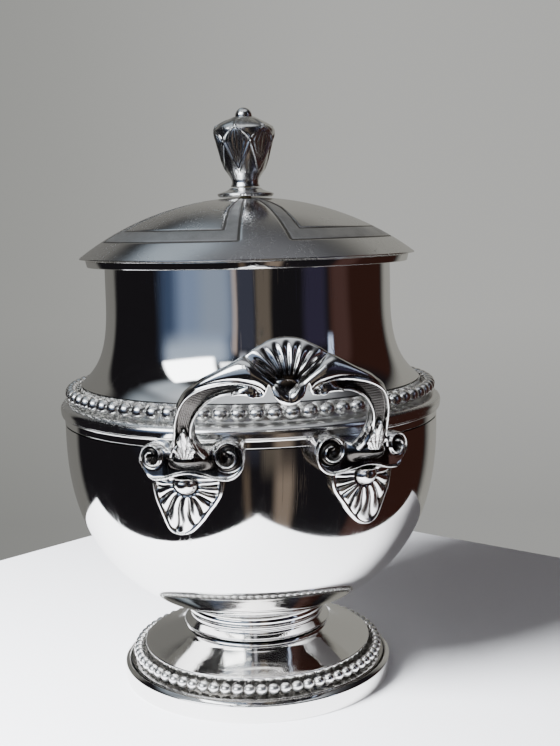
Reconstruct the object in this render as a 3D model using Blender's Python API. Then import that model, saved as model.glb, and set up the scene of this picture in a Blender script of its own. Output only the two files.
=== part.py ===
"""A covered sugar bowl on a spreading foot, with two cast loop handles and a lift-off lid.

The bowl stands on z = 0 with its axis on Z. The handles are on +X (right) and -X (left).
Every shell is spun or turned, so it is a profile of (radius, height) points carried round Z.
"""

import math

import bmesh
import bpy
import numpy as np
from mathutils import Matrix, Vector

MM = 0.001

# ---------------------------------------------------------------- driving sizes, in millimetres
GAP = 0.3  # between neighbouring pieces, where the real ones are soldered or touch
SEGMENTS = 40  # facets round every large turned piece
SMALL_SEGMENTS = 20  # facets round the finial and its fixings

FOOT_RADIUS = 39.0
FOOT_RIM_HEIGHT = 5.0
FOOT_RIM_WIDTH = 1.6
FOOT_STEP_RADIUS = 33.0
FOOT_STEP_HEIGHT = 10.0
FOOT_CONE_TOP_HEIGHT = 14.6
FOOT_WALL = 1.2
FOOT_BEADS = 68
FOOT_BEAD_RADIUS = 1.45

STEM_RADIUS = 20.4
STEM_WAIST = 0.7  # how far the stem draws in below its lip
STEM_RING_PROUD = 1.0
STEM_WALL = 2.8
STEM_HEIGHT = 6.5

BOWL_RADIUS = 52.9
BOWL_DEPTH = 55.8  # from the widest point down to the bottom
BOWL_ACROSS_POWER = 2.26  # both powers at 2 would make the bowl half an ellipsoid
BOWL_DOWN_POWER = 2.49
BOWL_STRAIGHT = 0.9  # cylindrical stretch above the widest point
BOWL_FLAT_RADIUS = 6.0  # the very bottom is flat out to here
BOWL_WALL = 1.2

BAND_PROUD = 1.1
BAND_HEIGHT = 4.6
LEDGE_HEIGHT = 1.1  # the ledge under the beads, above the band's face
SHOULDER_BEADS = 72
SHOULDER_BEAD_RADIUS = 2.05
SHOULDER_BEAD_INSET = 2.3  # the beads' circle is this far inside the bowl's radius
RISER_WALL = 1.5

NECK_RADIUS = 40.2
NECK_HEIGHT = 32.3
NECK_STRAIGHT = 9.5
NECK_FLARE_INSET = 4.9  # the flare ends this far inside the bowl's radius
NECK_WALL = 1.1
MOUTH_RIM_PROUD = 1.4
MOUTH_RIM_HEIGHT = 0.7

LID_OVERHANG = 6.8
LID_DOME_RISE = 15.9
LID_DOME_WALL = 0.9
LID_EDGE = 0.3
LID_BAND_INSET = 1.6
LID_BAND_HEIGHT = 1.9
LID_BAND_WALL = 0.9
LID_SEAT_WALL = 0.8
BEZEL_CLEARANCE = 1.5
BEZEL_WALL = 0.8
BEZEL_DEPTH = 6.7

FINIAL_DISC_RADIUS = 8.0
FINIAL_DISC_HEIGHT = 2.3
FINIAL_NECK_RADIUS = 3.9
FINIAL_BUD_RADIUS = 8.6
FINIAL_BUD_HEIGHT = 19.4
FINIAL_BALL_RADIUS = 2.4
STUD_RADIUS = 1.6
STUD_GRIP = 6.5  # how far the stud screws into the bud
STUD_TAIL = 1.0  # how far it shows below the nut
WASHER_RADIUS = 4.6
WASHER_THICKNESS = 0.8
NUT_RADIUS = 3.9
NUT_HEIGHT = 2.8

HANDLE_HALF_SPAN = 21.5  # from the handle's middle plane to the middle of each leg
HANDLE_RISE = 28.9  # from the middle of the volutes to the top of the crest
HANDLE_REACH = 23.0  # from the bowl's radius to the handle's furthest point
HANDLE_THICKNESS = 3.2
LEG_HALF_WIDTH = 3.7
LEG_ROOT_PROUD = 5.2  # how far the leg's root stands in front of the volutes
SADDLE_STANDOFF = 5.6  # from the shoulder band to the face of the volutes
SADDLE_DROP = 0.7  # from the underside of the shoulder band to the middle of the volutes
SADDLE_SKIRT = 5.4  # from the middle of the volutes down to the saddle's lower edge
SADDLE_SKIRT_INSET = 3.0  # the lower edge is this far behind the volutes
SADDLE_TOP = 2.0  # the flat between the volutes, above their middle
VOLUTE_HALF_SPREAD = 9.4
INNER_VOLUTE_RADIUS = 3.9
OUTER_VOLUTE_RADIUS = 3.3
PALMETTE_HEIGHT = 16.2
PALMETTE_HALF_WIDTH = 7.8
PALMETTE_THICKNESS = 3.8
PALMETTE_LEAN = 3.0  # the tip is this far further from the middle plane than the top


# ---------------------------------------------------------------- the bowl's curve
def bowl_rise(radius):
    """Height of the bowl's outside above its bottom, at that radius."""
    across = min(1.0, radius / BOWL_RADIUS) ** BOWL_ACROSS_POWER
    return BOWL_DEPTH * (1 - (1 - across) ** (1 / BOWL_DOWN_POWER))


def bowl_radius(rise):
    """Outside radius of the bowl at that height above its bottom."""
    down = min(1.0, max(0.0, 1 - rise / BOWL_DEPTH)) ** BOWL_DOWN_POWER
    return BOWL_RADIUS * (1 - down) ** (1 / BOWL_ACROSS_POWER)


# ---------------------------------------------------------------- heights that follow from them
STEM_BOTTOM = FOOT_CONE_TOP_HEIGHT + GAP
STEM_TOP = STEM_BOTTOM + STEM_HEIGHT + 0.6
BOWL_BOTTOM = STEM_TOP + GAP - bowl_rise(STEM_RADIUS)
BOWL_TOP = BOWL_BOTTOM + BOWL_DEPTH + BOWL_STRAIGHT
BAND_BOTTOM = BOWL_TOP + GAP
BAND_TOP = BAND_BOTTOM + BAND_HEIGHT
LEDGE_TOP = BAND_TOP + LEDGE_HEIGHT
SHOULDER_BEAD_HEIGHT = LEDGE_TOP + GAP + SHOULDER_BEAD_RADIUS
SHOULDER_BEAD_CIRCLE = BOWL_RADIUS - SHOULDER_BEAD_INSET
NECK_FLARE_RADIUS = BOWL_RADIUS - NECK_FLARE_INSET
NECK_BOTTOM = SHOULDER_BEAD_HEIGHT + SHOULDER_BEAD_RADIUS + GAP
RISER_TOP = NECK_BOTTOM - GAP
NECK_TOP = NECK_BOTTOM + NECK_HEIGHT
MOUTH_TOP = NECK_TOP + GAP + MOUTH_RIM_HEIGHT
SEAT_BOTTOM = MOUTH_TOP + GAP
SEAT_TOP = SEAT_BOTTOM + LID_SEAT_WALL
LID_RADIUS = NECK_RADIUS + LID_OVERHANG
LID_SPHERE = (LID_RADIUS**2 + LID_DOME_RISE**2) / (2 * LID_DOME_RISE)
LID_BAND_RADIUS = LID_RADIUS - LID_BAND_INSET
BEZEL_RADIUS = NECK_RADIUS - NECK_WALL - BEZEL_CLEARANCE
DOME_EDGE = SEAT_TOP + GAP
DOME_TOP = DOME_EDGE + LID_EDGE + LID_DOME_RISE
DISC_BOTTOM = DOME_TOP + GAP
BUD_BOTTOM = DISC_BOTTOM + FINIAL_DISC_HEIGHT + GAP
BUD_TOP = BUD_BOTTOM + FINIAL_BUD_HEIGHT
BORE_RADIUS = STUD_RADIUS + GAP
STUD_TOP = BUD_BOTTOM + STUD_GRIP

SADDLE_HEIGHT = BAND_BOTTOM - SADDLE_DROP  # height of the volutes' centres
SADDLE_BACK = BOWL_RADIUS + BAND_PROUD + GAP
SADDLE_FACE = SADDLE_BACK + SADDLE_STANDOFF - GAP
LEG_ANGLE = math.asin(HANDLE_HALF_SPAN / SADDLE_FACE)


# ---------------------------------------------------------------- materials and small helpers
def principled(name, colour, roughness):
    material = bpy.data.materials.new(name)
    material.use_nodes = True
    shader = material.node_tree.nodes["Principled BSDF"]
    shader.inputs["Base Color"].default_value = (*colour, 1.0)
    shader.inputs["Metallic"].default_value = 1.0
    shader.inputs["Roughness"].default_value = roughness
    return material


def add_object(name, mesh, material):
    """Links a mesh in millimetres as an object in metres, smooth except at real edges."""
    mesh.transform(Matrix.Scale(MM, 4))
    mesh.materials.append(material)
    obj = bpy.data.objects.new(name, mesh)
    bpy.context.scene.collection.objects.link(obj)
    mesh.shade_smooth()
    mesh.set_sharp_from_angle(angle=math.radians(35))
    return obj


def turned(name, profile, material, parent, segments=SEGMENTS):
    """A turned piece. The profile runs down its outer side and back up its inner side.

    A profile that starts and ends on the axis is solid; any other is closed into a ring.
    """
    on_axis = profile[0][0] == 0.0 and profile[-1][0] == 0.0
    count = len(profile)
    edges = [(i, i + 1) for i in range(count - 1)]
    if not on_axis:
        edges.append((count - 1, 0))
    mesh = bpy.data.meshes.new(name)
    mesh.from_pydata([(r, 0.0, z) for r, z in profile], edges, [])
    obj = add_object(name, mesh, material)
    screw = obj.modifiers.new("turn", "SCREW")
    screw.axis = "Z"
    screw.angle = 2 * math.pi
    screw.steps = segments
    screw.render_steps = segments
    screw.use_merge_vertices = True
    screw.merge_threshold = 0.00001
    obj.parent = parent
    return obj


def offset_inwards(points, distance):
    """The polyline moved to the right of its direction of travel, by its own normals."""
    path = np.array(points, float)
    tangent = np.gradient(path, axis=0)
    tangent /= np.linalg.norm(tangent, axis=1)[:, None]
    return (path + distance * np.stack([tangent[:, 1], -tangent[:, 0]], 1)).tolist()


def smooth_through(rows, samples):
    """Catmull-Rom curve through the rows of numbers, with that many samples for each span."""
    knots = np.array(rows, float)
    padded = np.vstack([2 * knots[0] - knots[1], knots, 2 * knots[-1] - knots[-2]])
    out = []
    for i in range(1, len(padded) - 2):
        a, b, c, d = padded[i - 1 : i + 3]
        for t in np.arange(samples) / samples:
            out.append(
                0.5 * (2 * b + (c - a) * t + (2 * a - 5 * b + 4 * c - d) * t**2
                       + (3 * b - a - 3 * c + d) * t**3)
            )
    out.append(knots[-1])
    return np.array(out)


def arc(centre, radius, start, end, count):
    """Points on a circle from one angle to another, in degrees."""
    angles = np.radians(np.linspace(start, end, count))
    return [(centre[0] + radius * math.cos(a), centre[1] + radius * math.sin(a)) for a in angles]


# ---------------------------------------------------------------- foot and stem
def make_foot(silver, body):
    rim_top = FOOT_RIM_HEIGHT
    rim_inside = FOOT_RADIUS - FOOT_RIM_WIDTH
    turned(
        "foot_rim",
        [(rim_inside + 0.4, rim_top + 0.5), (FOOT_RADIUS - 0.5, rim_top + 0.2),
         (FOOT_RADIUS, rim_top - 0.3), (FOOT_RADIUS, 0.0), (rim_inside, 0.0),
         (rim_inside, rim_top + 0.1)],
        silver, body,
    )
    cone_top = STEM_RADIUS + 0.2
    channel = rim_inside - GAP
    channel_floor = rim_top + 0.9
    step = FOOT_STEP_RADIUS
    inside = step - FOOT_WALL
    cone_middle = (cone_top + step) / 2
    sag = (FOOT_CONE_TOP_HEIGHT + FOOT_STEP_HEIGHT) / 2 - 0.35  # the cone is slightly concave
    turned(
        "foot_shell",
        [(cone_top - 2 * FOOT_WALL, FOOT_CONE_TOP_HEIGHT), (cone_top, FOOT_CONE_TOP_HEIGHT),
         (cone_top + 1.2, FOOT_CONE_TOP_HEIGHT - 0.9), (cone_middle, sag),
         (step - 0.5, FOOT_STEP_HEIGHT + 0.1), (step, FOOT_STEP_HEIGHT - 0.4),
         (step, channel_floor), (channel, channel_floor - 0.4), (channel, rim_top - 1.3),
         (inside, rim_top - 0.8), (inside, FOOT_STEP_HEIGHT - FOOT_WALL),
         (cone_middle, sag - FOOT_WALL),
         (cone_top - 2 * FOOT_WALL, FOOT_CONE_TOP_HEIGHT - FOOT_WALL - 1.0)],
        silver, body,
    )
    beaded_ring(
        "foot_bead_ring", (step + channel) / 2, channel_floor + GAP + FOOT_BEAD_RADIUS,
        FOOT_BEAD_RADIUS, FOOT_BEADS, 4, silver, body,
    )


def make_stem(silver, body):
    waist = STEM_RADIUS - STEM_WAIST
    ring = STEM_RADIUS + STEM_RING_PROUD
    inside = STEM_RADIUS - STEM_WALL
    low = STEM_BOTTOM
    turned(
        "stem_collar",
        [(STEM_RADIUS, STEM_TOP), (STEM_RADIUS - 0.1, STEM_TOP - 0.9), (waist, STEM_TOP - 2.3),
         (waist + 0.1, low + 3.9), (ring - 0.6, low + 3.5), (ring, low + 2.4),
         (ring - 0.6, low + 1.3), (STEM_RADIUS - 0.2, low), (inside, low),
         (inside, BOWL_BOTTOM + bowl_rise(inside) - GAP)],
        silver, body,
    )


# ---------------------------------------------------------------- bowl, shoulder and neck
def make_bowl(silver, body):
    # even steps of the superellipse's own angle put points where the bowl bends most
    power = 2 / BOWL_ACROSS_POWER
    last = math.acos((BOWL_FLAT_RADIUS / BOWL_RADIUS) ** (1 / power))
    radii = BOWL_RADIUS * np.cos(np.linspace(0.0, last, 11)) ** power
    outer = [(BOWL_RADIUS, BOWL_TOP), *[(r, BOWL_BOTTOM + bowl_rise(r)) for r in radii]]
    inner = offset_inwards(outer, BOWL_WALL)
    inner[0] = [BOWL_RADIUS - BOWL_WALL, BOWL_TOP]
    profile = [(0.0, BOWL_BOTTOM + BOWL_WALL), *reversed(inner), *outer, (0.0, BOWL_BOTTOM)]
    turned("bowl_shell", profile, silver, body)


def make_shoulder(silver, body):
    face = BOWL_RADIUS + BAND_PROUD
    riser = SHOULDER_BEAD_CIRCLE - SHOULDER_BEAD_RADIUS - GAP
    inside = riser - RISER_WALL
    turned(
        "shoulder_band",
        [(riser, RISER_TOP), (riser, LEDGE_TOP), (face - 1.5, LEDGE_TOP),
         (face - 1.1, BAND_TOP + 0.3), (face - 0.3, BAND_TOP), (face, BAND_TOP - 0.5),
         (face, BAND_BOTTOM + 1.7), (face - 0.6, BAND_BOTTOM + 1.5), (face - 0.9, BAND_BOTTOM),
         (inside, BAND_BOTTOM), (inside, RISER_TOP)],
        silver, body,
    )
    beaded_ring(
        "shoulder_bead_ring", SHOULDER_BEAD_CIRCLE, SHOULDER_BEAD_HEIGHT,
        SHOULDER_BEAD_RADIUS, SHOULDER_BEADS, 5, silver, body,
    )


def make_neck(silver, body):
    # the flare is one Bezier curve from the straight mouth down to the shoulder
    spread = NECK_FLARE_RADIUS - NECK_RADIUS
    corners = [
        (NECK_RADIUS, NECK_TOP - NECK_STRAIGHT),
        (NECK_RADIUS, NECK_BOTTOM + 0.28 * NECK_HEIGHT),
        (NECK_RADIUS + 0.38 * spread, NECK_BOTTOM + 0.13 * NECK_HEIGHT),
        (NECK_FLARE_RADIUS, NECK_BOTTOM),
    ]
    a, b, c, d = (np.array(corner) for corner in corners)
    flare = [
        (1 - t) ** 3 * a + 3 * t * (1 - t) ** 2 * b + 3 * t**2 * (1 - t) * c + t**3 * d
        for t in np.linspace(0, 1, 7)
    ]
    outer = [(NECK_RADIUS, NECK_TOP), *[tuple(point) for point in flare]]
    inner = offset_inwards(outer, NECK_WALL)
    inner[0] = [NECK_RADIUS - NECK_WALL, NECK_TOP]
    inner[-1] = [NECK_FLARE_RADIUS - 1.3 * NECK_WALL, NECK_BOTTOM]
    turned("neck_shell", [*outer, *reversed(inner)], silver, body)

    low = NECK_TOP + GAP
    edge = NECK_RADIUS + MOUTH_RIM_PROUD
    inside = NECK_RADIUS - NECK_WALL
    turned(
        "mouth_rim",
        [(edge - 0.3, MOUTH_TOP), (edge, low + 0.3), (edge - 0.3, low), (inside, low),
         (inside, MOUTH_TOP)],
        silver, body,
    )


def beaded_ring(name, circle, height, bead_radius, beads, sides, material, parent):
    """One ring of beads joined by their string: the tube is full at a bead, drawn in between."""
    bm = bmesh.new()
    rings = []
    for i in range(2 * beads):
        angle = math.pi * i / beads
        radius = bead_radius * (1.0 if i % 2 == 0 else 0.55)
        outward = Vector((math.cos(angle), math.sin(angle), 0.0))
        ring = []
        for k in range(sides):
            turn = 2 * math.pi * k / sides
            offset = outward * math.sin(turn) + Vector((0, 0, math.cos(turn)))
            ring.append(bm.verts.new(outward * circle + Vector((0, 0, height)) + offset * radius))
        rings.append(ring)
    for i, ring in enumerate(rings):
        following = rings[(i + 1) % len(rings)]
        for k in range(sides):
            after = (k + 1) % sides
            bm.faces.new((ring[k], following[k], following[after], ring[after]))
    bmesh.ops.recalc_face_normals(bm, faces=bm.faces)
    mesh = bpy.data.meshes.new(name)
    bm.to_mesh(mesh)
    bm.free()
    obj = add_object(name, mesh, material)
    obj.parent = parent
    return obj


# ---------------------------------------------------------------- lid and finial
def dome_points(radius, centre, inner_radius, edge_radius, count):
    """Points on a sphere of that radius, from an inner radius out to the edge."""
    first, last = math.asin(inner_radius / radius), math.asin(edge_radius / radius)
    return [(radius * math.sin(a), centre + radius * math.cos(a))
            for a in np.linspace(first, last, count)]


def make_lid(silver, brass, body):
    centre = DOME_TOP - LID_SPHERE
    inner_sphere = LID_SPHERE - LID_DOME_WALL
    inner_edge = math.sqrt(inner_sphere**2 - (DOME_EDGE - centre) ** 2)
    outer = dome_points(LID_SPHERE, centre, BORE_RADIUS, LID_RADIUS, 7)
    inner = dome_points(inner_sphere, centre, BORE_RADIUS, inner_edge, 6)
    turned("lid_dome", [*outer, (LID_RADIUS, DOME_EDGE), *reversed(inner)], silver, body)

    band_bottom = SEAT_TOP - LID_BAND_HEIGHT
    bezel_inside = BEZEL_RADIUS - BEZEL_WALL
    band_inside = LID_BAND_RADIUS - LID_BAND_WALL
    turned(
        "lid_seat_band",
        [(LID_BAND_RADIUS, SEAT_TOP), (LID_BAND_RADIUS, band_bottom), (band_inside, band_bottom),
         (band_inside, SEAT_BOTTOM), (bezel_inside, SEAT_BOTTOM), (bezel_inside, SEAT_TOP)],
        silver, body,
    )
    top = SEAT_BOTTOM - GAP
    low = top - BEZEL_DEPTH
    turned(
        "lid_bezel",
        [(BEZEL_RADIUS, top), (BEZEL_RADIUS, low + 0.6), (BEZEL_RADIUS - 0.4, low),
         (bezel_inside, low), (bezel_inside, top)],
        silver, body,
    )

    # the washer's rim clears the sloping wall under the crown
    (bore, crown), (ring, lower) = inner[:2]
    slope = (lower - crown) / (ring - bore)
    washer_top = crown + slope * (WASHER_RADIUS - bore) - GAP
    nut_top = washer_top - WASHER_THICKNESS - GAP
    stud_bottom = nut_top - NUT_HEIGHT - STUD_TAIL
    turned(
        "finial_washer",
        [(WASHER_RADIUS, washer_top), (WASHER_RADIUS, washer_top - WASHER_THICKNESS),
         (BORE_RADIUS, washer_top - WASHER_THICKNESS), (BORE_RADIUS, washer_top)],
        brass, body, SMALL_SEGMENTS,
    )
    turned(
        "finial_nut",
        [(NUT_RADIUS, nut_top), (NUT_RADIUS, nut_top - NUT_HEIGHT),
         (BORE_RADIUS * 1.15, nut_top - NUT_HEIGHT), (BORE_RADIUS * 1.15, nut_top)],
        brass, body, 6,
    )
    turned(
        "finial_stud",
        [(0.0, STUD_TOP), (STUD_RADIUS, STUD_TOP), (STUD_RADIUS, stud_bottom + 0.4),
         (STUD_RADIUS - 0.4, stud_bottom), (0.0, stud_bottom)],
        brass, body, SMALL_SEGMENTS,
    )


def make_finial(silver, body):
    low, high, edge = DISC_BOTTOM, DISC_BOTTOM + FINIAL_DISC_HEIGHT, FINIAL_DISC_RADIUS
    drop = LID_SPHERE - math.sqrt(LID_SPHERE**2 - edge**2)  # the disc's underside fits the dome
    turned(
        "finial_disc",
        [(FINIAL_NECK_RADIUS + 0.4, high), (FINIAL_NECK_RADIUS + 1.8, high - 0.9),
         (edge - 0.3, high - 1.3), (edge, high - 1.9), (edge - 0.5, low - drop + 0.1),
         (BORE_RADIUS, low), (BORE_RADIUS, high)],
        silver, body, SMALL_SEGMENTS,
    )
    neck, wide, tall = FINIAL_NECK_RADIUS, FINIAL_BUD_RADIUS, FINIAL_BUD_HEIGHT
    outline = arc((0.0, BUD_TOP), FINIAL_BALL_RADIUS, 90, 0, 4)
    outline[0] = (0.0, BUD_TOP + FINIAL_BALL_RADIUS)
    # shares of the bud's widest radius and of its height
    shares = [
        (0.50, 0.985), (0.77, 0.923), (0.95, 0.866), (1.0, 0.794), (0.95, 0.644),
        (0.86, 0.49), (0.755, 0.335), (0.62, 0.216),
    ]
    outline += [(wide * across, BUD_BOTTOM + tall * up) for across, up in shares]
    outline += [(neck + 0.35, BUD_BOTTOM + 0.144 * tall), (neck, BUD_BOTTOM + 0.057 * tall),
                (neck + 0.3, BUD_BOTTOM), (BORE_RADIUS, BUD_BOTTOM),
                (BORE_RADIUS, STUD_TOP + GAP), (0.0, STUD_TOP + GAP)]
    turned("finial_bud", outline, silver, body, SMALL_SEGMENTS)


# ---------------------------------------------------------------- handles
def solid_from_sections(name, sections, material):
    """A closed solid through sections of equally many points, with its ends capped."""
    bm = bmesh.new()
    loops = [[bm.verts.new(point) for point in section] for section in sections]
    for first, second in zip(loops, loops[1:]):
        for k in range(len(first)):
            after = (k + 1) % len(first)
            bm.faces.new((first[k], second[k], second[after], first[after]))
    bm.faces.new(loops[0])
    bm.faces.new(loops[-1])
    bmesh.ops.triangulate(bm, faces=bm.faces, quad_method="SHORT_EDGE")
    bmesh.ops.recalc_face_normals(bm, faces=bm.faces)
    mesh = bpy.data.meshes.new(name)
    bm.to_mesh(mesh)
    bm.free()
    return add_object(name, mesh, material)


def handle_edges():
    """The two edges of the flat loop, from the middle of the crest to the root of one leg.

    A row holds the outer edge's place across and its height, the inner edge's, and how far
    each edge reaches from the bowl. Places are shares of the half span, heights are shares of
    the rise and reaches are shares of the greatest reach.
    """
    root_height = (SADDLE_TOP + GAP) / HANDLE_RISE
    root_reach = (SADDLE_FACE + LEG_ROOT_PROUD - BOWL_RADIUS - 3.0) / HANDLE_REACH
    root_half = LEG_HALF_WIDTH / HANDLE_HALF_SPAN
    shares = [
        (0.000, 1.000, 0.000, 0.520, 0.800, 0.940),
        (0.200, 0.976, 0.220, 0.540, 0.810, 0.930),
        (0.395, 0.893, 0.430, 0.575, 0.860, 0.895),
        (0.605, 0.817, 0.540, 0.580, 0.876, 0.860),
        (0.847, 0.723, 0.665, 0.570, 0.845, 0.790),
        (1.050, 0.600, 0.880, 0.475, 0.755, 0.675),
        (1.145, 0.453, 0.955, 0.330, 0.590, 0.530),
        (1.172, 0.263, 0.935, 0.200, 0.430, 0.425),
        (1 + root_half, root_height, 1 - root_half, root_height, root_reach, root_reach),
    ]
    scale = (HANDLE_HALF_SPAN, HANDLE_RISE, HANDLE_HALF_SPAN, HANDLE_RISE, HANDLE_REACH,
             HANDLE_REACH)
    return smooth_through(np.array(shares) * scale, 2)


def arch_sections():
    """Six-sided sections of the loop from one leg's root over the crest to the other's."""
    rows = handle_edges()
    mirrored = rows[:0:-1] * np.array([-1, 1, -1, 1, 1, 1])
    rows = np.vstack([mirrored, rows])
    outer = np.stack([BOWL_RADIUS + rows[:, 4], rows[:, 0], SADDLE_HEIGHT + rows[:, 1]], 1)
    inner = np.stack([BOWL_RADIUS + rows[:, 5], rows[:, 2], SADDLE_HEIGHT + rows[:, 3]], 1)
    middle = (outer + inner) / 2
    along = np.gradient(middle, axis=0)
    along[[0, -1]] = [[0, 0, 1], [0, 0, -1]]  # the roots stand flat on the saddles
    front = np.cross(outer - inner, along)
    front /= np.linalg.norm(front, axis=1)[:, None]
    front *= np.sign(front[:, :1])
    thickness = HANDLE_THICKNESS * front
    sections = [
        inner - 0.25 * thickness, middle + 0.25 * thickness, outer - 0.25 * thickness,
        outer - 0.8 * thickness, middle - 1.15 * thickness, inner - 0.8 * thickness,
    ]
    return np.stack(sections, 1)


def at(radius, angle, height):
    return (radius * math.cos(angle), radius * math.sin(angle), height)


def saddle_sections(side):
    """Sections of a scroll saddle, which follows the shoulder band round under one leg.

    Each station is a place along the band from the leg's middle, the top and the bottom
    there, from the volutes' middle, and how far the leg's root swells the front.
    """
    spread, leg = VOLUTE_HALF_SPREAD, LEG_HALF_WIDTH
    inner, outer = INNER_VOLUTE_RADIUS, OUTER_VOLUTE_RADIUS
    skirt = -SADDLE_SKIRT
    stations = [
        (-spread - inner, 0.9, -0.9, 0.0), (-spread - 0.75 * inner, 0.66 * inner, -inner, 0.0),
        (-spread, inner, skirt, 0.0), (-spread + 0.75 * inner, 0.66 * inner, skirt, 0.0),
        (-leg - 1.4, SADDLE_TOP, skirt, 0.0), (-leg, SADDLE_TOP, skirt, 0.9),
        (0.0, SADDLE_TOP, skirt, 1.0), (leg, SADDLE_TOP, skirt, 0.9),
        (leg + 1.4, SADDLE_TOP, skirt, 0.0), (spread - 0.75 * outer, 0.66 * outer, skirt, 0.0),
        (spread, outer, skirt, 0.0), (spread + 0.75 * outer, 0.66 * outer, -outer, 0.0),
        (spread + outer, 0.9, -0.9, 0.0),
    ]
    bowl_side = BOWL_RADIUS + GAP
    shelf = BAND_BOTTOM - GAP
    sections = []
    for place, top, bottom, swell in stations:
        angle = side * (LEG_ANGLE + place / SADDLE_FACE)
        low, high = SADDLE_HEIGHT + bottom, SADDLE_HEIGHT + top
        chin = low + 0.4 * (high - low)
        front = SADDLE_FACE + LEG_ROOT_PROUD * swell
        outline = [
            (bowl_side, low), (SADDLE_FACE - SADDLE_SKIRT_INSET, low), (SADDLE_FACE, chin),
            (front, high - 0.8), (front, high), (SADDLE_BACK, high), (SADDLE_BACK, shelf),
            (bowl_side, shelf),
        ]
        sections.append([at(radius, angle, height) for radius, height in outline])
    return sections


def palmette_sections(side):
    """Rows of a fan-shaped plate that lies on the bowl below a saddle, from top to tip."""
    top = SADDLE_HEIGHT - SADDLE_SKIRT - GAP
    sections = []
    for share in np.linspace(0.0, 1.0, 7):
        height = top - share * PALMETTE_HEIGHT
        half = PALMETTE_HALF_WIDTH * (1 - share**1.8) ** 0.6 + 0.9
        middle = HANDLE_HALF_SPAN - 0.2 + PALMETTE_LEAN * share
        thickness = PALMETTE_THICKNESS * (1 - 0.7 * share)
        surface = bowl_radius(height - BOWL_BOTTOM) + GAP
        front_row, back_row = [], []
        for across in (-1.0, -0.5, 0.0, 0.5, 1.0):
            angle = side * math.asin((middle + across * half) / surface)
            proud = thickness * (1 - 0.55 * across**2)
            front_row.append(at(surface + proud, angle, height))
            back_row.append(at(surface, angle, height))
        sections.append(front_row + back_row[::-1])
    return sections


def make_handles(silver, body):
    for name, turn in (("right", 0.0), ("left", math.pi)):
        pieces = [solid_from_sections(f"{name}_handle_arch", arch_sections(), silver)]
        for place, side in (("front", -1), ("rear", 1)):
            end = side if name == "right" else -side
            saddle = solid_from_sections(
                f"{name}_{place}_scroll_saddle", saddle_sections(end), silver
            )
            palmette = solid_from_sections(
                f"{name}_{place}_palmette", palmette_sections(end), silver
            )
            pieces += [saddle, palmette]
        for piece in pieces:
            piece.rotation_euler = (0, 0, turn)
            piece.parent = body


# ---------------------------------------------------------------- the whole
def main():
    for obj in list(bpy.data.objects):
        bpy.data.objects.remove(obj)
    bright = principled("polished_silver_plate", (0.86, 0.85, 0.82), 0.08)
    cast = principled("cast_silver_plate", (0.80, 0.79, 0.76), 0.16)
    brass = principled("brass_fixings", (0.72, 0.58, 0.30), 0.30)

    bowl = bpy.data.objects.new("bowl_body", None)
    lid = bpy.data.objects.new("lid_body", None)
    for empty in (bowl, lid):
        bpy.context.scene.collection.objects.link(empty)

    make_foot(bright, bowl)
    make_stem(bright, bowl)
    make_bowl(bright, bowl)
    make_shoulder(bright, bowl)
    make_neck(bright, bowl)
    make_handles(cast, bowl)
    make_lid(bright, brass, lid)
    make_finial(cast, lid)


main()
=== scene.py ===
import math

import bpy
import numpy as np
from mathutils import Matrix, Vector


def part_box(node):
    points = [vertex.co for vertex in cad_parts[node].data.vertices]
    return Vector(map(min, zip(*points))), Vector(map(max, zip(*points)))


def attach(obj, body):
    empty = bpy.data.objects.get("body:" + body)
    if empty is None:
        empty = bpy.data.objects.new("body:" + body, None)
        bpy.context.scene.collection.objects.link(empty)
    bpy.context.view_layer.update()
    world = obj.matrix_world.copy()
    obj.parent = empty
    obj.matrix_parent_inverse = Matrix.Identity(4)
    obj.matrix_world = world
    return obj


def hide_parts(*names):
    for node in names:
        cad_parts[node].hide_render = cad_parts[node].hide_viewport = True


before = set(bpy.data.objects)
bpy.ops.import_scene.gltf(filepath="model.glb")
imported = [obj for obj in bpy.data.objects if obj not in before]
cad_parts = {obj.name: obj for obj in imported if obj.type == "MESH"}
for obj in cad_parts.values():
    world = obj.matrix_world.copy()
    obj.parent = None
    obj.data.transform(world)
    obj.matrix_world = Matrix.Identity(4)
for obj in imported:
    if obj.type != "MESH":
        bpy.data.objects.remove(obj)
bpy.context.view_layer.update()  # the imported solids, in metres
mm = 0.001


# ---- sizes read from the solids

def sizes(node):
    # a solid's lowest and highest place and its reach from the axis, in millimetres
    low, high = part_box(node)
    return {"bottom": low.z / mm, "top": high.z / mm, "radius": high.x / mm}


bowlSize = sizes("bowl_shell")
neckSize = sizes("neck_shell")
bandSize = sizes("shoulder_band")
shoulderBeadSize = sizes("shoulder_bead_ring")
mouthSize = sizes("mouth_rim")
footRimSize = sizes("foot_rim")
footSize = sizes("foot_shell")
footBeadSize = sizes("foot_bead_ring")
stemSize = sizes("stem_collar")
domeSize = sizes("lid_dome")
seatSize = sizes("lid_seat_band")
bezelSize = sizes("lid_bezel")
discSize = sizes("finial_disc")
budSize = sizes("finial_bud")
print("frame read: bowl radius", round(bowlSize["radius"], 2), "mm")


# ---- curves and grids

def smoothRows(rows, count):
    # Catmull-Rom curve through the rows of numbers, read at count places by even knot steps
    knots = np.array(rows, float)
    padded = np.vstack([2 * knots[0] - knots[1], knots, 2 * knots[-1] - knots[-2]])
    place = np.linspace(0, len(knots) - 1, count)
    i = np.minimum(place.astype(int), len(knots) - 2)
    t = (place - i)[:, None]
    a, b, c, d = padded[i], padded[i + 1], padded[i + 2], padded[i + 3]
    return 0.5 * (2 * b + (c - a) * t + (2 * a - 5 * b + 4 * c - d) * t**2 + (3 * b - a - 3 * c + d) * t**3)


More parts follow.
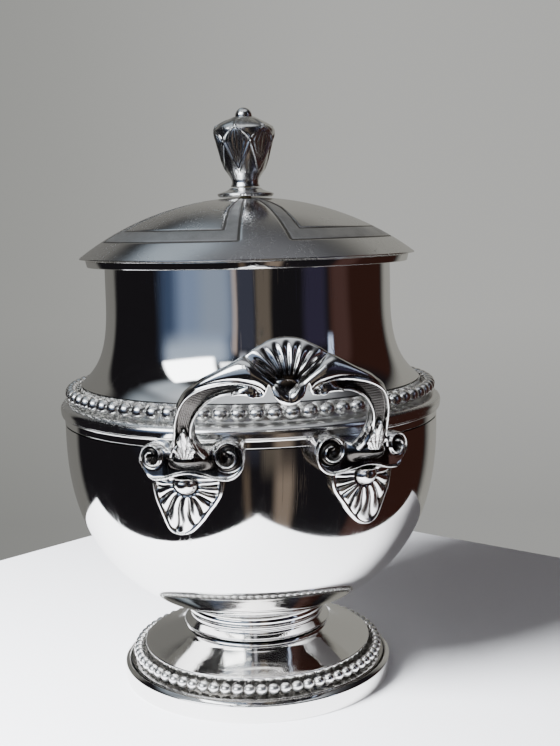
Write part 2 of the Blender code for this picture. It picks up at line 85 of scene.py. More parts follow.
def rounded(corners, reach, closed=False, count=5):
    # each corner gives way to a short parabola that starts and ends at most "reach" from it
    points = np.array(corners, float)
    out = []
    last = len(points) - 1
    for k, corner in enumerate(points):
        if not closed and k in (0, last):
            out.append(corner[None])
            continue
        before, after = points[k - 1], points[(k + 1) % len(points)]
        arms = [before - corner, after - corner]
        ends = []
        for arm in arms:
            size = np.linalg.norm(arm)
            ends.append(corner + arm / size * min(reach, 0.45 * size))
        t = np.linspace(0, 1, count)[:, None]
        out.append((1 - t) ** 2 * ends[0] + 2 * t * (1 - t) * corner + t**2 * ends[1])
    return np.vstack(out)


def smoothStep(x, low=0.0, high=1.0):
    # 0 up to low, 1 from high, and three squares less two cubes of the share between
    t = np.clip((x - low) / (high - low), 0, 1)
    return t * t * (3 - 2 * t)


def gauss(x, width):
    # a bump of height 1: e to the minus square of x over width
    return np.exp(-(x / width) ** 2)


def aroundAxis(radius, angle, height):
    # places from their distance to the upright axis, their angle round it and their height
    x, y = radius * np.cos(angle), radius * np.sin(angle)
    return np.stack([x, y, np.broadcast_to(height, x.shape)], -1)


def withEnds(grid, marks):
    # closes both ends of a tube: one more row at each end, all of it at the middle of the row beside it
    first, last = (np.broadcast_to(row.mean(0), (1, row.shape[0], 3)) for row in (grid[0], grid[-1]))
    return np.vstack([first, grid, last]), np.vstack([marks[:1], marks, marks[-1:]])


def surface(name, grid, material, body, replaced=(), marks=None, closeRows=False, closeColumns=True,
            poleStart=False, poleEnd=False, sharp=40):
    # a grid of points in millimetres becomes four-sided faces, and a row that is one point becomes a fan
    rows, columns = grid.shape[:2]
    ids = np.arange(rows * columns).reshape(rows, columns)
    down = np.roll(ids, -1, axis=0)
    across, corner = np.roll(ids, -1, axis=1), np.roll(down, -1, axis=1)
    quads = np.stack([ids, down, corner, across], -1)
    quads = quads[int(poleStart):rows if closeRows else rows - 1 - int(poleEnd)]
    if not closeColumns:
        quads = quads[:, :-1]
    fans, keep = [], np.ones(rows * columns, bool)
    if poleStart:
        fans.append(np.stack([np.full(columns, ids[0, 0]), ids[1], across[1]], -1))
        keep[ids[0, 1:]] = False
    if poleEnd:
        fans.append(np.stack([ids[-2], np.full(columns, ids[-1, 0]), across[-2]], -1))
        keep[ids[-1, 1:]] = False
    points = grid.reshape(-1, 3) * mm
    a, b, c, d = (points[quads.reshape(-1, 4)[:, k]] for k in range(4))
    volume = np.einsum("ij,ij->i", a, np.cross(b, c)).sum() + np.einsum("ij,ij->i", a, np.cross(c, d)).sum()
    label = np.cumsum(keep) - 1
    faces = []
    for block in [quads.reshape(-1, 4)] + fans:
        faces += label[block[:, ::-1] if volume < 0 else block].tolist()
    mesh = bpy.data.meshes.new(name)
    mesh.from_pydata(points[keep].tolist(), [], faces)
    for key, values in (marks or {}).items():
        layer = mesh.attributes.new(key, "FLOAT", "POINT")
        layer.data.foreach_set("value", np.asarray(values, np.float32).reshape(-1)[keep])
    mesh.shade_smooth()
    if sharp:
        mesh.set_sharp_from_angle(angle=math.radians(sharp))
    mesh.materials.append(material)
    piece = bpy.data.objects.new(name, mesh)
    bpy.context.scene.collection.objects.link(piece)
    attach(piece, body)
    if replaced:
        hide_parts(*replaced)
    return piece


def turned(name, profile, material, body, replaced=(), turns=180, closed=True, dent=0.0, marks=None):
    # a profile of (radius, height) carried round Z; dent times three slow sines is the unevenness of the spun wall
    profile = np.asarray(profile, float)
    angle = np.linspace(0, 2 * np.pi, turns, endpoint=False)
    radius, height = profile[:, :1], profile[:, 1:]
    wave = np.sin(3 * angle + height / 9) + 0.6 * np.sin(5 * angle - height / 6 + 1) + 0.4 * np.sin(8 * angle + height / 4)
    grid = aroundAxis(radius + dent * wave * np.minimum(1, radius / 12), angle, height)
    if marks is not None:
        marks = marks if isinstance(marks, dict) else {"patinaAndShade": marks}
        marks = {key: np.repeat(np.asarray(value, float)[:, None], turns, 1) for key, value in marks.items()}
    return surface(name, grid, material, body, replaced, marks, closeRows=closed,
                   poleStart=not closed and profile[0, 0] == 0, poleEnd=not closed and profile[-1, 0] == 0)


# ---- materials

def newMaterial(name, color, metallic, roughness):
    # a material with the standard shader and these three values on its sockets
    material = bpy.data.materials.new(name)
    material.use_nodes = True
    shader = material.node_tree.nodes["Principled BSDF"]
    shader.inputs["Base Color"].default_value = (*color, 1)
    shader.inputs["Metallic"].default_value = metallic
    shader.inputs["Roughness"].default_value = roughness
    return material, material.node_tree.nodes, material.node_tree.links, shader


def node(nodes, kind, settings=None, **inputs):
    # one new node, its settings set and its sockets filled by name
    made = nodes.new(kind)
    for key, value in (settings or {}).items():
        setattr(made, key, value)
    for key, value in inputs.items():
        made.inputs[key].default_value = value
    return made


def math2(nodes, links, operation, a, b=None, clamp=False):
    # one sum on one or two values, each a number or another node's output
    made = nodes.new("ShaderNodeMath")
    made.operation = operation
    made.use_clamp = clamp
    for k, value in enumerate((a, b)):
        if value is None:
            continue
        if isinstance(value, (int, float)):
            made.inputs[k].default_value = value
        else:
            links.new(value, made.inputs[k])
    return made.outputs[0]


def mixColor(nodes, links, factor, a, b):
    # a where the factor is 0 and b where it is 1
    made = nodes.new("ShaderNodeMix")
    made.data_type = "RGBA"
    for socket, value in ((made.inputs[0], factor), (made.inputs[6], a), (made.inputs[7], b)):
        if isinstance(value, (int, float)):
            socket.default_value = value
        elif isinstance(value, tuple):
            socket.default_value = (*value, 1)
        else:
            links.new(value, socket)
    return made.outputs[2]


def thinLines(nodes, links, coords, scale, turn, width, detail=2.0):
    # long hairlines: a noise stretched along one direction, kept only near its middle value
    mapping = node(nodes, "ShaderNodeMapping", {"vector_type": "POINT"})
    mapping.inputs["Rotation"].default_value = turn
    mapping.inputs["Scale"].default_value = scale
    links.new(coords, mapping.inputs["Vector"])
    noise = node(nodes, "ShaderNodeTexNoise", None, Scale=1.0, Detail=detail, Roughness=0.45)
    links.new(mapping.outputs[0], noise.inputs["Vector"])
    away = math2(nodes, links, "ABSOLUTE", math2(nodes, links, "SUBTRACT", noise.outputs["Fac"], 0.5))
    return math2(nodes, links, "SUBTRACT", 1.0, math2(nodes, links, "DIVIDE", away, width), clamp=True)


def silver(name, settings):
    # bright plate: slow clouding, hairline scratches, fine lathe lines, and tarnish with painted shade where a mark
    # says so
    material, nodes, links, shader = newMaterial(name, settings["color"], 1.0, settings["roughness"])
    coords = node(nodes, "ShaderNodeTexCoord").outputs["Object"]

    def calc(operation, a, b=None, clamp=False):
        return math2(nodes, links, operation, a, b, clamp)

    def noise(scale, detail, rough):
        # noise over the object, scale in lumps to the metre
        made = node(nodes, "ShaderNodeTexNoise", None, Scale=scale, Detail=detail, Roughness=rough)
        links.new(coords, made.inputs["Vector"])
        return made.outputs["Fac"]

    def marked(key):
        # how strongly the mesh is marked at a place
        return node(nodes, "ShaderNodeAttribute", {"attribute_name": key}).outputs["Fac"]

    def ranged(value, low, high, start, end, kind="LINEAR"):
        # value carried from the range low to high onto start to end
        made = node(nodes, "ShaderNodeMapRange", {"clamp": True, "interpolation_type": kind},
                    **{"From Min": low, "From Max": high, "To Min": start, "To Max": end})
        links.new(value, made.inputs["Value"])
        return made.outputs[0]

    cloud = noise(settings["cloudScale"], 5.0, 0.6)
    fine = noise(900.0, 3.0, 0.6)
    scratches = None
    for k, turn in enumerate(((0.4, 0.3, 0.5), (1.3, 0.2, 2.1), (2.2, 1.1, 0.9))):
        lines = thinLines(nodes, links, coords, (420.0, 420.0, 14.0), turn, 0.012)
        lines = calc("MULTIPLY", lines, ranged(noise(38.0 + 17 * k, 1.0, 0.5), 0.52, 0.66, 0.0, 1.0))
        scratches = lines if scratches is None else calc("MAXIMUM", scratches, lines)
    lathe = thinLines(nodes, links, coords, (6.0, 6.0, 2600.0), (0, 0, 0), 0.30, 3.0)

    rough = ranged(cloud, 0.35, 0.7, settings["roughness"], settings["roughness"] + settings["cloudRoughness"])
    total = calc("ADD", rough, calc("MULTIPLY", scratches, settings["scratchRoughness"]))
    color = mixColor(nodes, links, calc("MULTIPLY", cloud, settings["clouding"]), settings["color"], settings["dull"])
    # tarnish with painted shade: the mark darkens hollows, creases, places between parts and some shaded tops
    if settings.get("tarnishAndShade"):
        uneven = calc("MULTIPLY", calc("SUBTRACT", cloud, 0.5), 0.5)
        amount = ranged(calc("ADD", marked("patinaAndShade"), uneven), 0.18, 0.68, 0.0, settings["tarnishAndShade"], "SMOOTHSTEP")
        color = mixColor(nodes, links, amount, color, settings["tarnishAndShadeColor"])
        total = calc("ADD", total, calc("MULTIPLY", amount, settings["tarnishAndShadeRoughness"]))
    links.new(color, shader.inputs["Base Color"])
    if settings.get("frosted"):
        total = calc("ADD", total, marked("frost"))

    height = calc("ADD", calc("MULTIPLY", fine, settings["fineBump"]), calc("MULTIPLY", lathe, settings["latheBump"]))
    height = calc("SUBTRACT", height, calc("MULTIPLY", scratches, settings["scratchBump"]))
    if settings.get("stipple"):
        mark = marked("stipple")
        dots = node(nodes, "ShaderNodeTexVoronoi", {"feature": "F1"}, Scale=1500.0)
        links.new(coords, dots.inputs["Vector"])
        pits = calc("MULTIPLY", calc("SUBTRACT", 1.0, dots.outputs["Distance"]), mark)
        height = calc("SUBTRACT", height, calc("MULTIPLY", pits, settings["stipple"]))
        total = calc("ADD", total, calc("MULTIPLY", mark, settings["stippleRoughness"]))
    bump = node(nodes, "ShaderNodeBump", None, Strength=1.0, Distance=mm)
    links.new(height, bump.inputs["Height"])
    links.new(bump.outputs[0], shader.inputs["Normal"])
    links.new(calc("MINIMUM", total, 0.9), shader.inputs["Roughness"])
    return material


spunFinish = {  # bright spun plate; the other finishes change a few of its values
    "color": (0.90, 0.89, 0.87), "dull": (0.70, 0.69, 0.66), "clouding": 0.25, "cloudScale": 45.0,
    "roughness": 0.035, "cloudRoughness": 0.05, "scratchRoughness": 0.10,
    "fineBump": 0.0012, "latheBump": 0.0006, "scratchBump": 0.003,
    # the tarnish colour stands for patina and also for painted shade
    "tarnishAndShade": 0.7, "tarnishAndShadeColor": (0.10, 0.085, 0.07), "tarnishAndShadeRoughness": 0.25,
}
bandFinish = dict(spunFinish, frosted=True, scratchBump=0.0015)
beadFinish = dict(spunFinish, roughness=0.22, cloudRoughness=0.08, fineBump=0.0008, scratchBump=0.0015)
lidFinish = dict(spunFinish, color=(0.84, 0.83, 0.82), roughness=0.13, cloudRoughness=0.12, scratchRoughness=0.2, latheBump=0.0,
                 fineBump=0.004, scratchBump=0.006, stipple=0.05, stippleRoughness=0.16, tarnishAndShade=0.9)
castFinish = dict(spunFinish, roughness=0.10, cloudRoughness=0.08, tarnishAndShade=0.95, tarnishAndShadeColor=(0.035, 0.029, 0.024),
                  tarnishAndShadeRoughness=0.10, latheBump=0.0, fineBump=0.003)
finialFinish = dict(spunFinish, roughness=0.18, cloudRoughness=0.08, tarnishAndShade=0.95, tarnishAndShadeColor=(0.045, 0.038, 0.03),
                    latheBump=0.0)
brassFinish = dict(spunFinish, color=(0.72, 0.56, 0.28), dull=(0.45, 0.33, 0.16), roughness=0.28, cloudRoughness=0.15,
                   clouding=0.6, tarnishAndShade=0.0)
spun, cast = silver("spunSilver", spunFinish), silver("castSilver", castFinish)
bandSilver, beadSilver = silver("bandSilver", bandFinish), silver("beadSilver", beadFinish)
lidSilver, finialSilver = silver("lidSilver", lidFinish), silver("finialSilver", finialFinish)
brass = silver("brassFixings", brassFinish)
print("materials made")


# ---- foot

footShape = {"rimWidth": 1.6, "stepRadius": 33.0, "stepHeight": 10.0, "wall": 1.2, "coneTop": 20.6, "coneHollow": 0.45,
             "channelShade": 0.5}


def makeFoot():
    # rim: a rounded strip; shell: a straight cone less half a sine of hollow, then a step down into the beads' channel
    shape, outside = footShape, footRimSize["radius"]
    inside, low, high = outside - shape["rimWidth"], footRimSize["bottom"], footRimSize["top"]
    corners = [(inside, high - 0.35), (inside + 0.5, high), (outside - 1.0, high - 0.05), (outside - 0.35, high - 0.5),
               (outside, high - 0.8), (outside, low + 0.2), (outside - 0.2, low), (inside, low)]
    turned("footRim", rounded(corners, 0.25, True), spun, "bowl", ["foot_rim"], 240, dent=0.02)

    top, floor, wall = footSize["top"], high + 0.4, shape["wall"]
    step, stepTop, channel, coneTop = shape["stepRadius"], shape["stepHeight"], footSize["radius"], shape["coneTop"]
    coneStart, coneEnd = np.array([coneTop + 1.0, top - 0.9]), np.array([step - 0.9, stepTop + 0.15])
    share = np.linspace(0.03, 0.985, 14)[:, None]
    cone = coneStart + (coneEnd - coneStart) * share - np.array([0, shape["coneHollow"]]) * np.sin(np.pi * share)
    upper = rounded([(coneTop, top), (coneTop + 0.15, top - 0.5), (coneTop + 1.2, top - 0.95)], 0.4)
    outer = rounded([(step - 0.6, stepTop + 0.12), (step, stepTop + 0.05), (step, stepTop - 0.6), (step - 0.25, floor + 1.6),
                     (step - 0.2, floor), (channel, floor - 0.2), (channel, high - 1.8)], 0.3)
    under = [(step - wall, high - 1.4), (step - wall, stepTop - wall),
             ((step + coneTop) / 2, (top + stepTop) / 2 - wall - 0.5), (coneTop - 2 * wall, top - wall - 1.0)]
    profile = np.vstack([[(coneTop - 2 * wall, top)], upper, cone, outer, under])
    # the beads' channel is painted darker as shade
    inChannel = (profile[:, 0] > step - 0.3) & (profile[:, 1] < stepTop - 0.8)
    turned("footShell", profile, spun, "bowl", ["foot_shell"], 240, dent=0.015,
           marks=np.where(inChannel, shape["channelShade"], 0.0))


makeFoot()


beadShape = {"footBeads": 68, "footDark": 0.9, "shoulderBeads": 72, "shoulderDark": 0.7, "reach": 76, "rings": 11, "sides": 16,
             "fill": 0.93, "waist": 0.22, "darkFrom": 0.72}


def beadRing(name, size, count, replaced, dark):
    # a string of balls: the tube's half thickness is the root of one less the square of the place along the bead,
    # and between two beads it thins to a waist, which is painted dark as shade
    shape = beadShape
    ball, height = (size["top"] - size["bottom"]) / 2, (size["top"] + size["bottom"]) / 2
    circle, pitch = size["radius"] - ball, 2 * np.pi / count
    halfPitch = pitch * circle / 2
    polar = np.radians(np.linspace(-shape["reach"], shape["reach"], shape["rings"]))
    along = np.sin(polar) / np.sin(polar[-1]) * halfPitch * shape["fill"]
    thick = ball * np.sqrt(np.maximum(1 - (along / (halfPitch * 0.99)) ** 2, 0.02))
    along, thick = np.append(along, halfPitch), np.append(thick, shape["waist"] * ball)
    angle = (np.arange(count)[:, None] * pitch + along[None] / circle).reshape(-1, 1)
    tube = np.tile(thick, count)[:, None]
    around = np.linspace(0, 2 * np.pi, shape["sides"], endpoint=False)
    grid = aroundAxis(circle + tube * np.cos(around), angle, height + tube * np.sin(around))
    # painted shade where the tube thins between beads
    patinaAndShade = dark * np.clip(1.6 * (shape["darkFrom"] - tube / ball), 0, 1) + 0 * around
    return surface(name, grid, beadSilver, "bowl", [replaced], {"patinaAndShade": patinaAndShade}, closeRows=True, sharp=0)


beadRing("footBeads", footBeadSize, beadShape["footBeads"], "foot_bead_ring", beadShape["footDark"])
print("foot made")


# ---- stem, bowl, shoulder and neck

stemShape = {"lipInset": 1.0, "wall": 2.8, "torus": 1.1, "torusTall": 1.35}


def makeStem():
    # a bold half ring under the bowl, a cove, and a thin lip over the foot
    shape, ring, low, top = stemShape, stemSize["radius"], stemSize["bottom"], stemSize["top"]
    lip = ring - shape["lipInset"]
    inside, bulge = lip - shape["wall"], np.radians(np.linspace(80, -72, 13))
    torus = np.stack([lip + shape["torus"] * (np.cos(bulge) - 1), top - 1.7 + shape["torusTall"] * np.sin(bulge)], 1)
    cove = [(lip - 0.95, top - 3.2), (lip - 1.15, top - 4.3), (lip - 0.9, low + 2.5), (ring - 0.5, low + 1.5)]
    rest = [(ring, low + 1.15), (ring - 0.25, low + 0.75), (lip - 0.4, low + 0.4), (lip - 0.4, low), (inside, low),
            (inside, top - 0.6)]
    profile = np.vstack([[(lip - 1.4, top - 0.4)], torus, rounded(cove + rest, 0.35)])
    turned("stemCollar", profile, spun, "bowl", ["stem_collar"], 200)


makeStem()

bowlShape = {"depth": 55.8, "acrossPower": 2.26, "downPower": 2.49, "wall": 1.2, "flat": 6.0}


def bowlRadius(rise):
    # superellipse: share across to one power and share down to another add up to one
    down = np.clip(1 - rise / bowlShape["depth"], 0, 1) ** bowlShape["downPower"]
    return bowlSize["radius"] * (1 - down) ** (1 / bowlShape["acrossPower"])


def offsetRight(path, distance):
    # the path moved sideways, to the right of its own direction
    tangent = np.gradient(path, axis=0)
    tangent /= np.linalg.norm(tangent, axis=1)[:, None]
    return path + distance * np.stack([tangent[:, 1], -tangent[:, 0]], 1)


def makeBowl():
    # the outer profile by even angles of the superellipse, and the inner one a wall's thickness to its right
    shape, radius, bottom = bowlShape, bowlSize["radius"], bowlSize["bottom"]
    power = 2 / shape["acrossPower"]
    last = math.acos((shape["flat"] / radius) ** (1 / power))
    angle = np.linspace(0.02, last, 60)
    across = np.cos(angle)
    outer = np.stack([radius * across**power, bottom + shape["depth"] * (1 - (1 - across**2) ** (1 / shape["downPower"]))], 1)
    outer = np.vstack([[(radius, bowlSize["top"])], outer])
    inner = offsetRight(outer, shape["wall"])
    inner[0] = (radius - shape["wall"], bowlSize["top"])
    profile = np.vstack([[(0, bottom + shape["wall"])], inner[::-1], outer, [(0, bottom)]])
    turned("bowlShell", profile, spun, "bowl", ["bowl_shell"], 300, closed=False, dent=0.03)


makeBowl()

bandShape = {"bandHeight": 4.6, "ledge": 1.1, "beadInset": 2.3, "bead": 2.05, "riserWall": 1.5, "gap": 0.3, "lip": 2.0,
             "flush": 0.04, "ledgeFrost": 0.22, "faceFrost": 0.09}


def makeShoulder():
    # a ledge for the beads, a face that is a quarter of an ellipse, a thin lip, and below it a strip flush with the bowl
    shape, face, low, high = bandShape, bandSize["radius"], bandSize["bottom"], bandSize["top"]
    ledge, lip, flush = low + shape["bandHeight"] + shape["ledge"], low + shape["lip"], bowlSize["radius"] + shape["flush"]
    riser = bowlSize["radius"] - shape["beadInset"] - shape["bead"] - shape["gap"]
    inside = riser - shape["riserWall"]
    turn = np.radians(np.linspace(84, -12, 9))
    bulge = np.stack([face - 1.9 + 1.9 * np.cos(turn), ledge - 1.8 + 1.75 * np.sin(turn)], 1)
    upper = rounded([(riser, high - 0.2), (riser, ledge), (face - 2.6, ledge), (face - 2.0, ledge)], 0.5)
    lower = rounded([(face - 0.12, lip + 0.7), (face - 0.4, lip + 0.45), (face - 0.25, lip + 0.25), (face - 0.4, lip),
                     (flush, lip - 0.12), (flush, low), (inside, low)], 0.2)
    profile = np.vstack([[(inside, high), (riser, high)], upper, bulge, lower])
    faceFrost = np.where(profile[:, 1] > lip + 0.1, shape["faceFrost"], 0.0)
    frost = np.where(profile[:, 1] > ledge - 1.0, shape["ledgeFrost"], faceFrost)
    turned("shoulderBand", profile, bandSilver, "bowl", ["shoulder_band"], 300, dent=0.02,
           marks={"patinaAndShade": 0 * frost, "frost": frost})


makeShoulder()
beadRing("shoulderBeads", shoulderBeadSize, beadShape["shoulderBeads"], "shoulder_bead_ring", beadShape["shoulderDark"])

neckShape = {"radius": 40.2, "straight": 9.5, "wall": 1.1, "flareDrop": 0.28, "flareRun": 0.38, "flareLift": 0.13}


def makeNeck():
    # a straight wall, then one cubic curve through four corners that flares out to the shoulder
    shape, foot = neckShape, neckSize["radius"]
    low, high = neckSize["bottom"], neckSize["top"]
    tall, radius = high - low, shape["radius"]
    corners = [(radius, high - shape["straight"]), (radius, low + shape["flareDrop"] * tall),
               (radius + shape["flareRun"] * (foot - radius), low + shape["flareLift"] * tall), (foot, low)]
    a, b, c, d = np.array(corners)
    t = np.linspace(0, 1, 40)[:, None]
    flare = (1 - t) ** 3 * a + 3 * t * (1 - t) ** 2 * b + 3 * t**2 * (1 - t) * c + t**3 * d
    straight = np.stack([np.full(6, radius), np.linspace(high, high - shape["straight"] + 0.5, 6)], 1)
    outer = np.vstack([straight, flare])
    inner = offsetRight(outer, shape["wall"])
    inner[0] = (radius - shape["wall"], high)
    inner[-1] = (foot - 1.3 * shape["wall"], low)
    turned("neckShell", np.vstack([outer, inner[::-1]]), spun, "bowl", ["neck_shell"], 300, dent=0.03)
    edge, low, high, inside = mouthSize["radius"], mouthSize["bottom"], mouthSize["top"], radius - shape["wall"]
    wire = rounded([(edge, high), (edge, low), (inside, low), (inside, high)], 0.3, True)
    turned("mouthRim", wire, spun, "bowl", ["mouth_rim"], 240)


makeNeck()
print("bowl, shoulder and neck made")


# ---- lid

lidShape = {
    "rise": 15.9, "edge": 0.3, "wall": 0.9, "bore": 1.9,
    "frames": 4, "wedge": 9.3, "bandWidth": 4.2, "taper": 0.55, "outerLine": 40.5, "innerLine": 35.6,
    "lineWidth": 0.30, "lineDepth": 0.24, "start": 10.0, "stippleDepth": 0.05, "stippleDark": 0.42, "turns": 640,
    "seatFloor": 0.8, "bezelWall": 0.8,
}


def makeLid():
    # dome: a sphere through the edge and the top, less the engraved lines and the stipple between them
    shape = lidShape
    radius, top, edge = domeSize["radius"], domeSize["top"], domeSize["bottom"]
    sphere = (radius**2 + shape["rise"] ** 2) / (2 * shape["rise"])
    centre = top - sphere
    fineRows = np.concatenate([np.linspace(shape["bore"], 30, 50), np.linspace(30.3, 42.5, 62), np.linspace(42.8, radius, 12)])
    r, angle = fineRows[:, None], np.linspace(0, 2 * np.pi, shape["turns"], endpoint=False)[None]
    # each quarter holds a frame; "side" is the distance from the frame's radial line, in millimetres
    quarter = np.radians(360 / shape["frames"])
    local = np.abs((angle + quarter / 2) % quarter - quarter / 2)
    side = (local - np.radians(shape["wedge"])) * r
    band = shape["bandWidth"] * (shape["taper"] + (1 - shape["taper"]) * r / shape["outerLine"]) * np.minimum(1, r / 22)
    start = shape["start"]
    inFrame = (side > 0) & (r < shape["outerLine"])
    lines = np.maximum.reduce([
        gauss(side, shape["lineWidth"]) * (r < shape["outerLine"]),
        gauss(side - band, shape["lineWidth"]) * (r < shape["innerLine"]),
        gauss(r - shape["outerLine"], shape["lineWidth"]) * (side > 0),
        gauss(r - shape["innerLine"], shape["lineWidth"]) * (side > band),
    ]) * smoothStep(r, start - 4, start)
    stipple = (inFrame & ((side < band) | (r > shape["innerLine"]))) * smoothStep(r, start - 3, start + 1) * (1 - lines)
    drop = shape["lineDepth"] * lines + shape["stippleDepth"] * stipple
    height = centre + np.sqrt(sphere**2 - r**2) - drop + 0.02 * np.sin(3 * angle + r / 7)
    outer = aroundAxis(r, angle, height)
    innerSphere = sphere - shape["wall"]
    innerEdge = math.sqrt(innerSphere**2 - (edge - centre) ** 2)
    innerRadii = np.array([radius - 0.02, radius, innerEdge, 38, 30, 20, 10, 5, shape["bore"]])[:, None]
    innerHeights = centre + np.sqrt(innerSphere**2 - np.minimum(innerRadii, innerEdge) ** 2)
    innerHeights[0], innerHeights[1] = edge + shape["edge"] * 0.6, edge + 0.02
    grid = np.vstack([outer, aroundAxis(innerRadii, angle, innerHeights)])
    filler = np.zeros((len(innerRadii), shape["turns"]))
    patinaAndShade = np.maximum(lines, shape["stippleDark"] * stipple)
    marks = {"patinaAndShade": np.vstack([patinaAndShade, filler]), "stipple": np.vstack([stipple, filler])}
    surface("lidDome", grid, lidSilver, "lid", ["lid_dome"], marks, closeRows=True)

    # seat band: a turned-down edge with the flat that rests on the mouth; bezel: a flange that drops into the neck
    band, low, high = seatSize["radius"], seatSize["bottom"], seatSize["top"]
    flange, end, start = bezelSize["radius"], bezelSize["bottom"], bezelSize["top"]
    inside, flat = flange - shape["bezelWall"], high - shape["seatFloor"]
    corners = [(band, high), (band - 0.45, low), (band - 1.1, low), (band - 0.9, flat), (inside, flat), (inside, high)]
    turned("lidSeatBand", rounded(corners, 0.22, True), spun, "lid", ["lid_seat_band"], 240)
    corners = [(flange, start), (flange, end + 0.6), (flange - 0.4, end), (inside, end), (inside, start)]
    turned("lidBezel", rounded(corners, 0.2, True), lidSilver, "lid", ["lid_bezel"], 240)


makeLid()

finialShape = {
    "leaves": 6, "firstLeaf": -24.0, "leafFoot": 0.22, "crossing": 0.62, "tip": 0.83, "edgeHeight": 0.34, "ribDepth": 0.36,
    "neck": 3.9, "tall": 19.4, "ball": 2.4, "socket": 3.0, "socketDeep": 6.8, "turns": 264,
    # radius and height of the bud, as shares of its widest radius and of its height; the foot's radii are shares of the neck's
    "foot": [(1.09, 0.0), (1.0, 0.057), (1.03, 0.10), (1.16, 0.15)],
    "bud": [(0.62, 0.216), (0.755, 0.335), (0.86, 0.49), (0.95, 0.644), (1.0, 0.775), (0.975, 0.825), (0.89, 0.865),
            (0.74, 0.905), (0.56, 0.945), (0.38, 0.985)],
}


def makeFinial():
    # the bud's radius is its outline plus the relief of its leaves: a raised edge, three ribs and the hollow between two leaves
    shape, neck, wide, edge = finialShape, finialShape["neck"], budSize["radius"], discSize["radius"]
    low, high, bore = discSize["bottom"], discSize["top"], lidShape["bore"]
    corners = [(neck + 0.5, high), (neck + 0.9, high - 0.5), (neck + 2.0, high - 0.95), (edge - 0.7, high - 1.35),
               (edge, high - 1.65), (edge - 0.15, high - 2.05), (edge - 0.6, low + 0.05), (bore, low + 0.45), (bore, high)]
    turned("finialDisc", rounded(corners, 0.35, True), finialSilver, "lid", ["finial_disc"], 96)

    base, tall, turns = budSize["bottom"], shape["tall"], shape["turns"]
    outline = smoothRows([(neck * a / wide, b) for a, b in shape["foot"]] + shape["bud"], 150)
    h, radius = outline[:, 1:], outline[:, :1] * wide
    turn = np.linspace(0, 2 * np.pi, turns, endpoint=False)[None]
    pitch = 2 * np.pi / shape["leaves"]
    # a runs from -0.5 to 0.5 across one leaf; each leaf is a pointed arch that meets its neighbours at the crossing
    a = ((turn - np.radians(shape["firstLeaf"])) / pitch + 0.5) % 1 - 0.5
    below = np.clip((h - shape["leafFoot"]) / (shape["crossing"] - shape["leafFoot"]), 0, 1) ** 0.85
    above = np.clip((h - shape["crossing"]) / (shape["tip"] - shape["crossing"]), 0, 1)
    half = 0.5 * below * (1 - above**1.6)
    gap = (half - np.abs(a)) * pitch * radius
    inside = smoothStep(gap, 0.0, 0.5)
    edgeLine = gauss(gap, 0.34) * smoothStep(h, 0.16, 0.26) * (1 - smoothStep(h, shape["tip"] + 0.02, shape["tip"] + 0.05))
    fan = np.cos(2 * np.pi * 3 * a / np.maximum(half, 0.04))
    ribs = inside * (-0.5 * shape["ribDepth"] + 0.5 * shape["ribDepth"] * fan) * smoothStep(h, 0.22, 0.40)
    between = (1 - inside) * (h < shape["crossing"]) * smoothStep(h, 0.2, 0.34) * 0.30
    crown = 0.42 * gauss(a * pitch * radius, 0.55) * smoothStep(h, shape["tip"], shape["tip"] + 0.04)
    crown = crown * (1 - smoothStep(h, 0.93, 0.98))
    relief = shape["edgeHeight"] * edgeLine + ribs - between + crown
    reach = np.minimum(radius + relief - 0.12, wide)
    grid = aroundAxis(reach, turn, base + h * tall)
    # the ball on top, and the socket for the stud under the foot
    ball, ballTop = shape["ball"], budSize["top"]
    polar = np.radians(np.linspace(-24, 84, 14))[:, None]
    cap = aroundAxis(ball * np.cos(polar), turn, ballTop - ball + ball * np.sin(polar))
    tipPoint = np.broadcast_to(np.array([0, 0, ballTop]), (1, turns, 3))
    deep = base + shape["socketDeep"]
    foot = aroundAxis(np.array([[0.0], [bore], [bore], [shape["socket"]]]), turn, np.array([[deep], [deep], [base], [base]]))
    whole = np.vstack([foot, grid, cap, tipPoint])
    # painted shade in the hollows of the leaves
    shade = 0.32 * np.clip(-relief / 0.32, 0, 1) * inside
    patinaAndShade = np.vstack([np.zeros((4, turns)), shade, np.zeros((15, turns))])
    # painted shade in the groove under the ball
    patinaAndShade[4 + 149 - 3:4 + 150 + 2] += 0.4  # the groove under the ball
    surface("finialBud", whole, finialSilver, "lid", ["finial_bud"], {"patinaAndShade": patinaAndShade},
            poleStart=True, poleEnd=True, sharp=0)


makeFinial()
for name in ("finial_washer", "finial_nut", "finial_stud"):
    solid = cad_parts[name]
    solid.data.materials.clear()
    solid.data.materials.append(brass)
print("lid and finial made")


# ---- handles

def nearCurve(a, b, curve):
    # distance to the nearest point of a dense curve, and on which side of the curve the place lies
    away = (a[..., None] - curve[:, 0]) ** 2 + (b[..., None] - curve[:, 1]) ** 2
    k = away.argmin(-1)
    tangent = np.gradient(curve, axis=0)
    side = tangent[k, 0] * (b - curve[k, 1]) - tangent[k, 1] * (a - curve[k, 0])
    return np.sqrt(np.take_along_axis(away, k[..., None], -1)[..., 0]), np.sign(side)


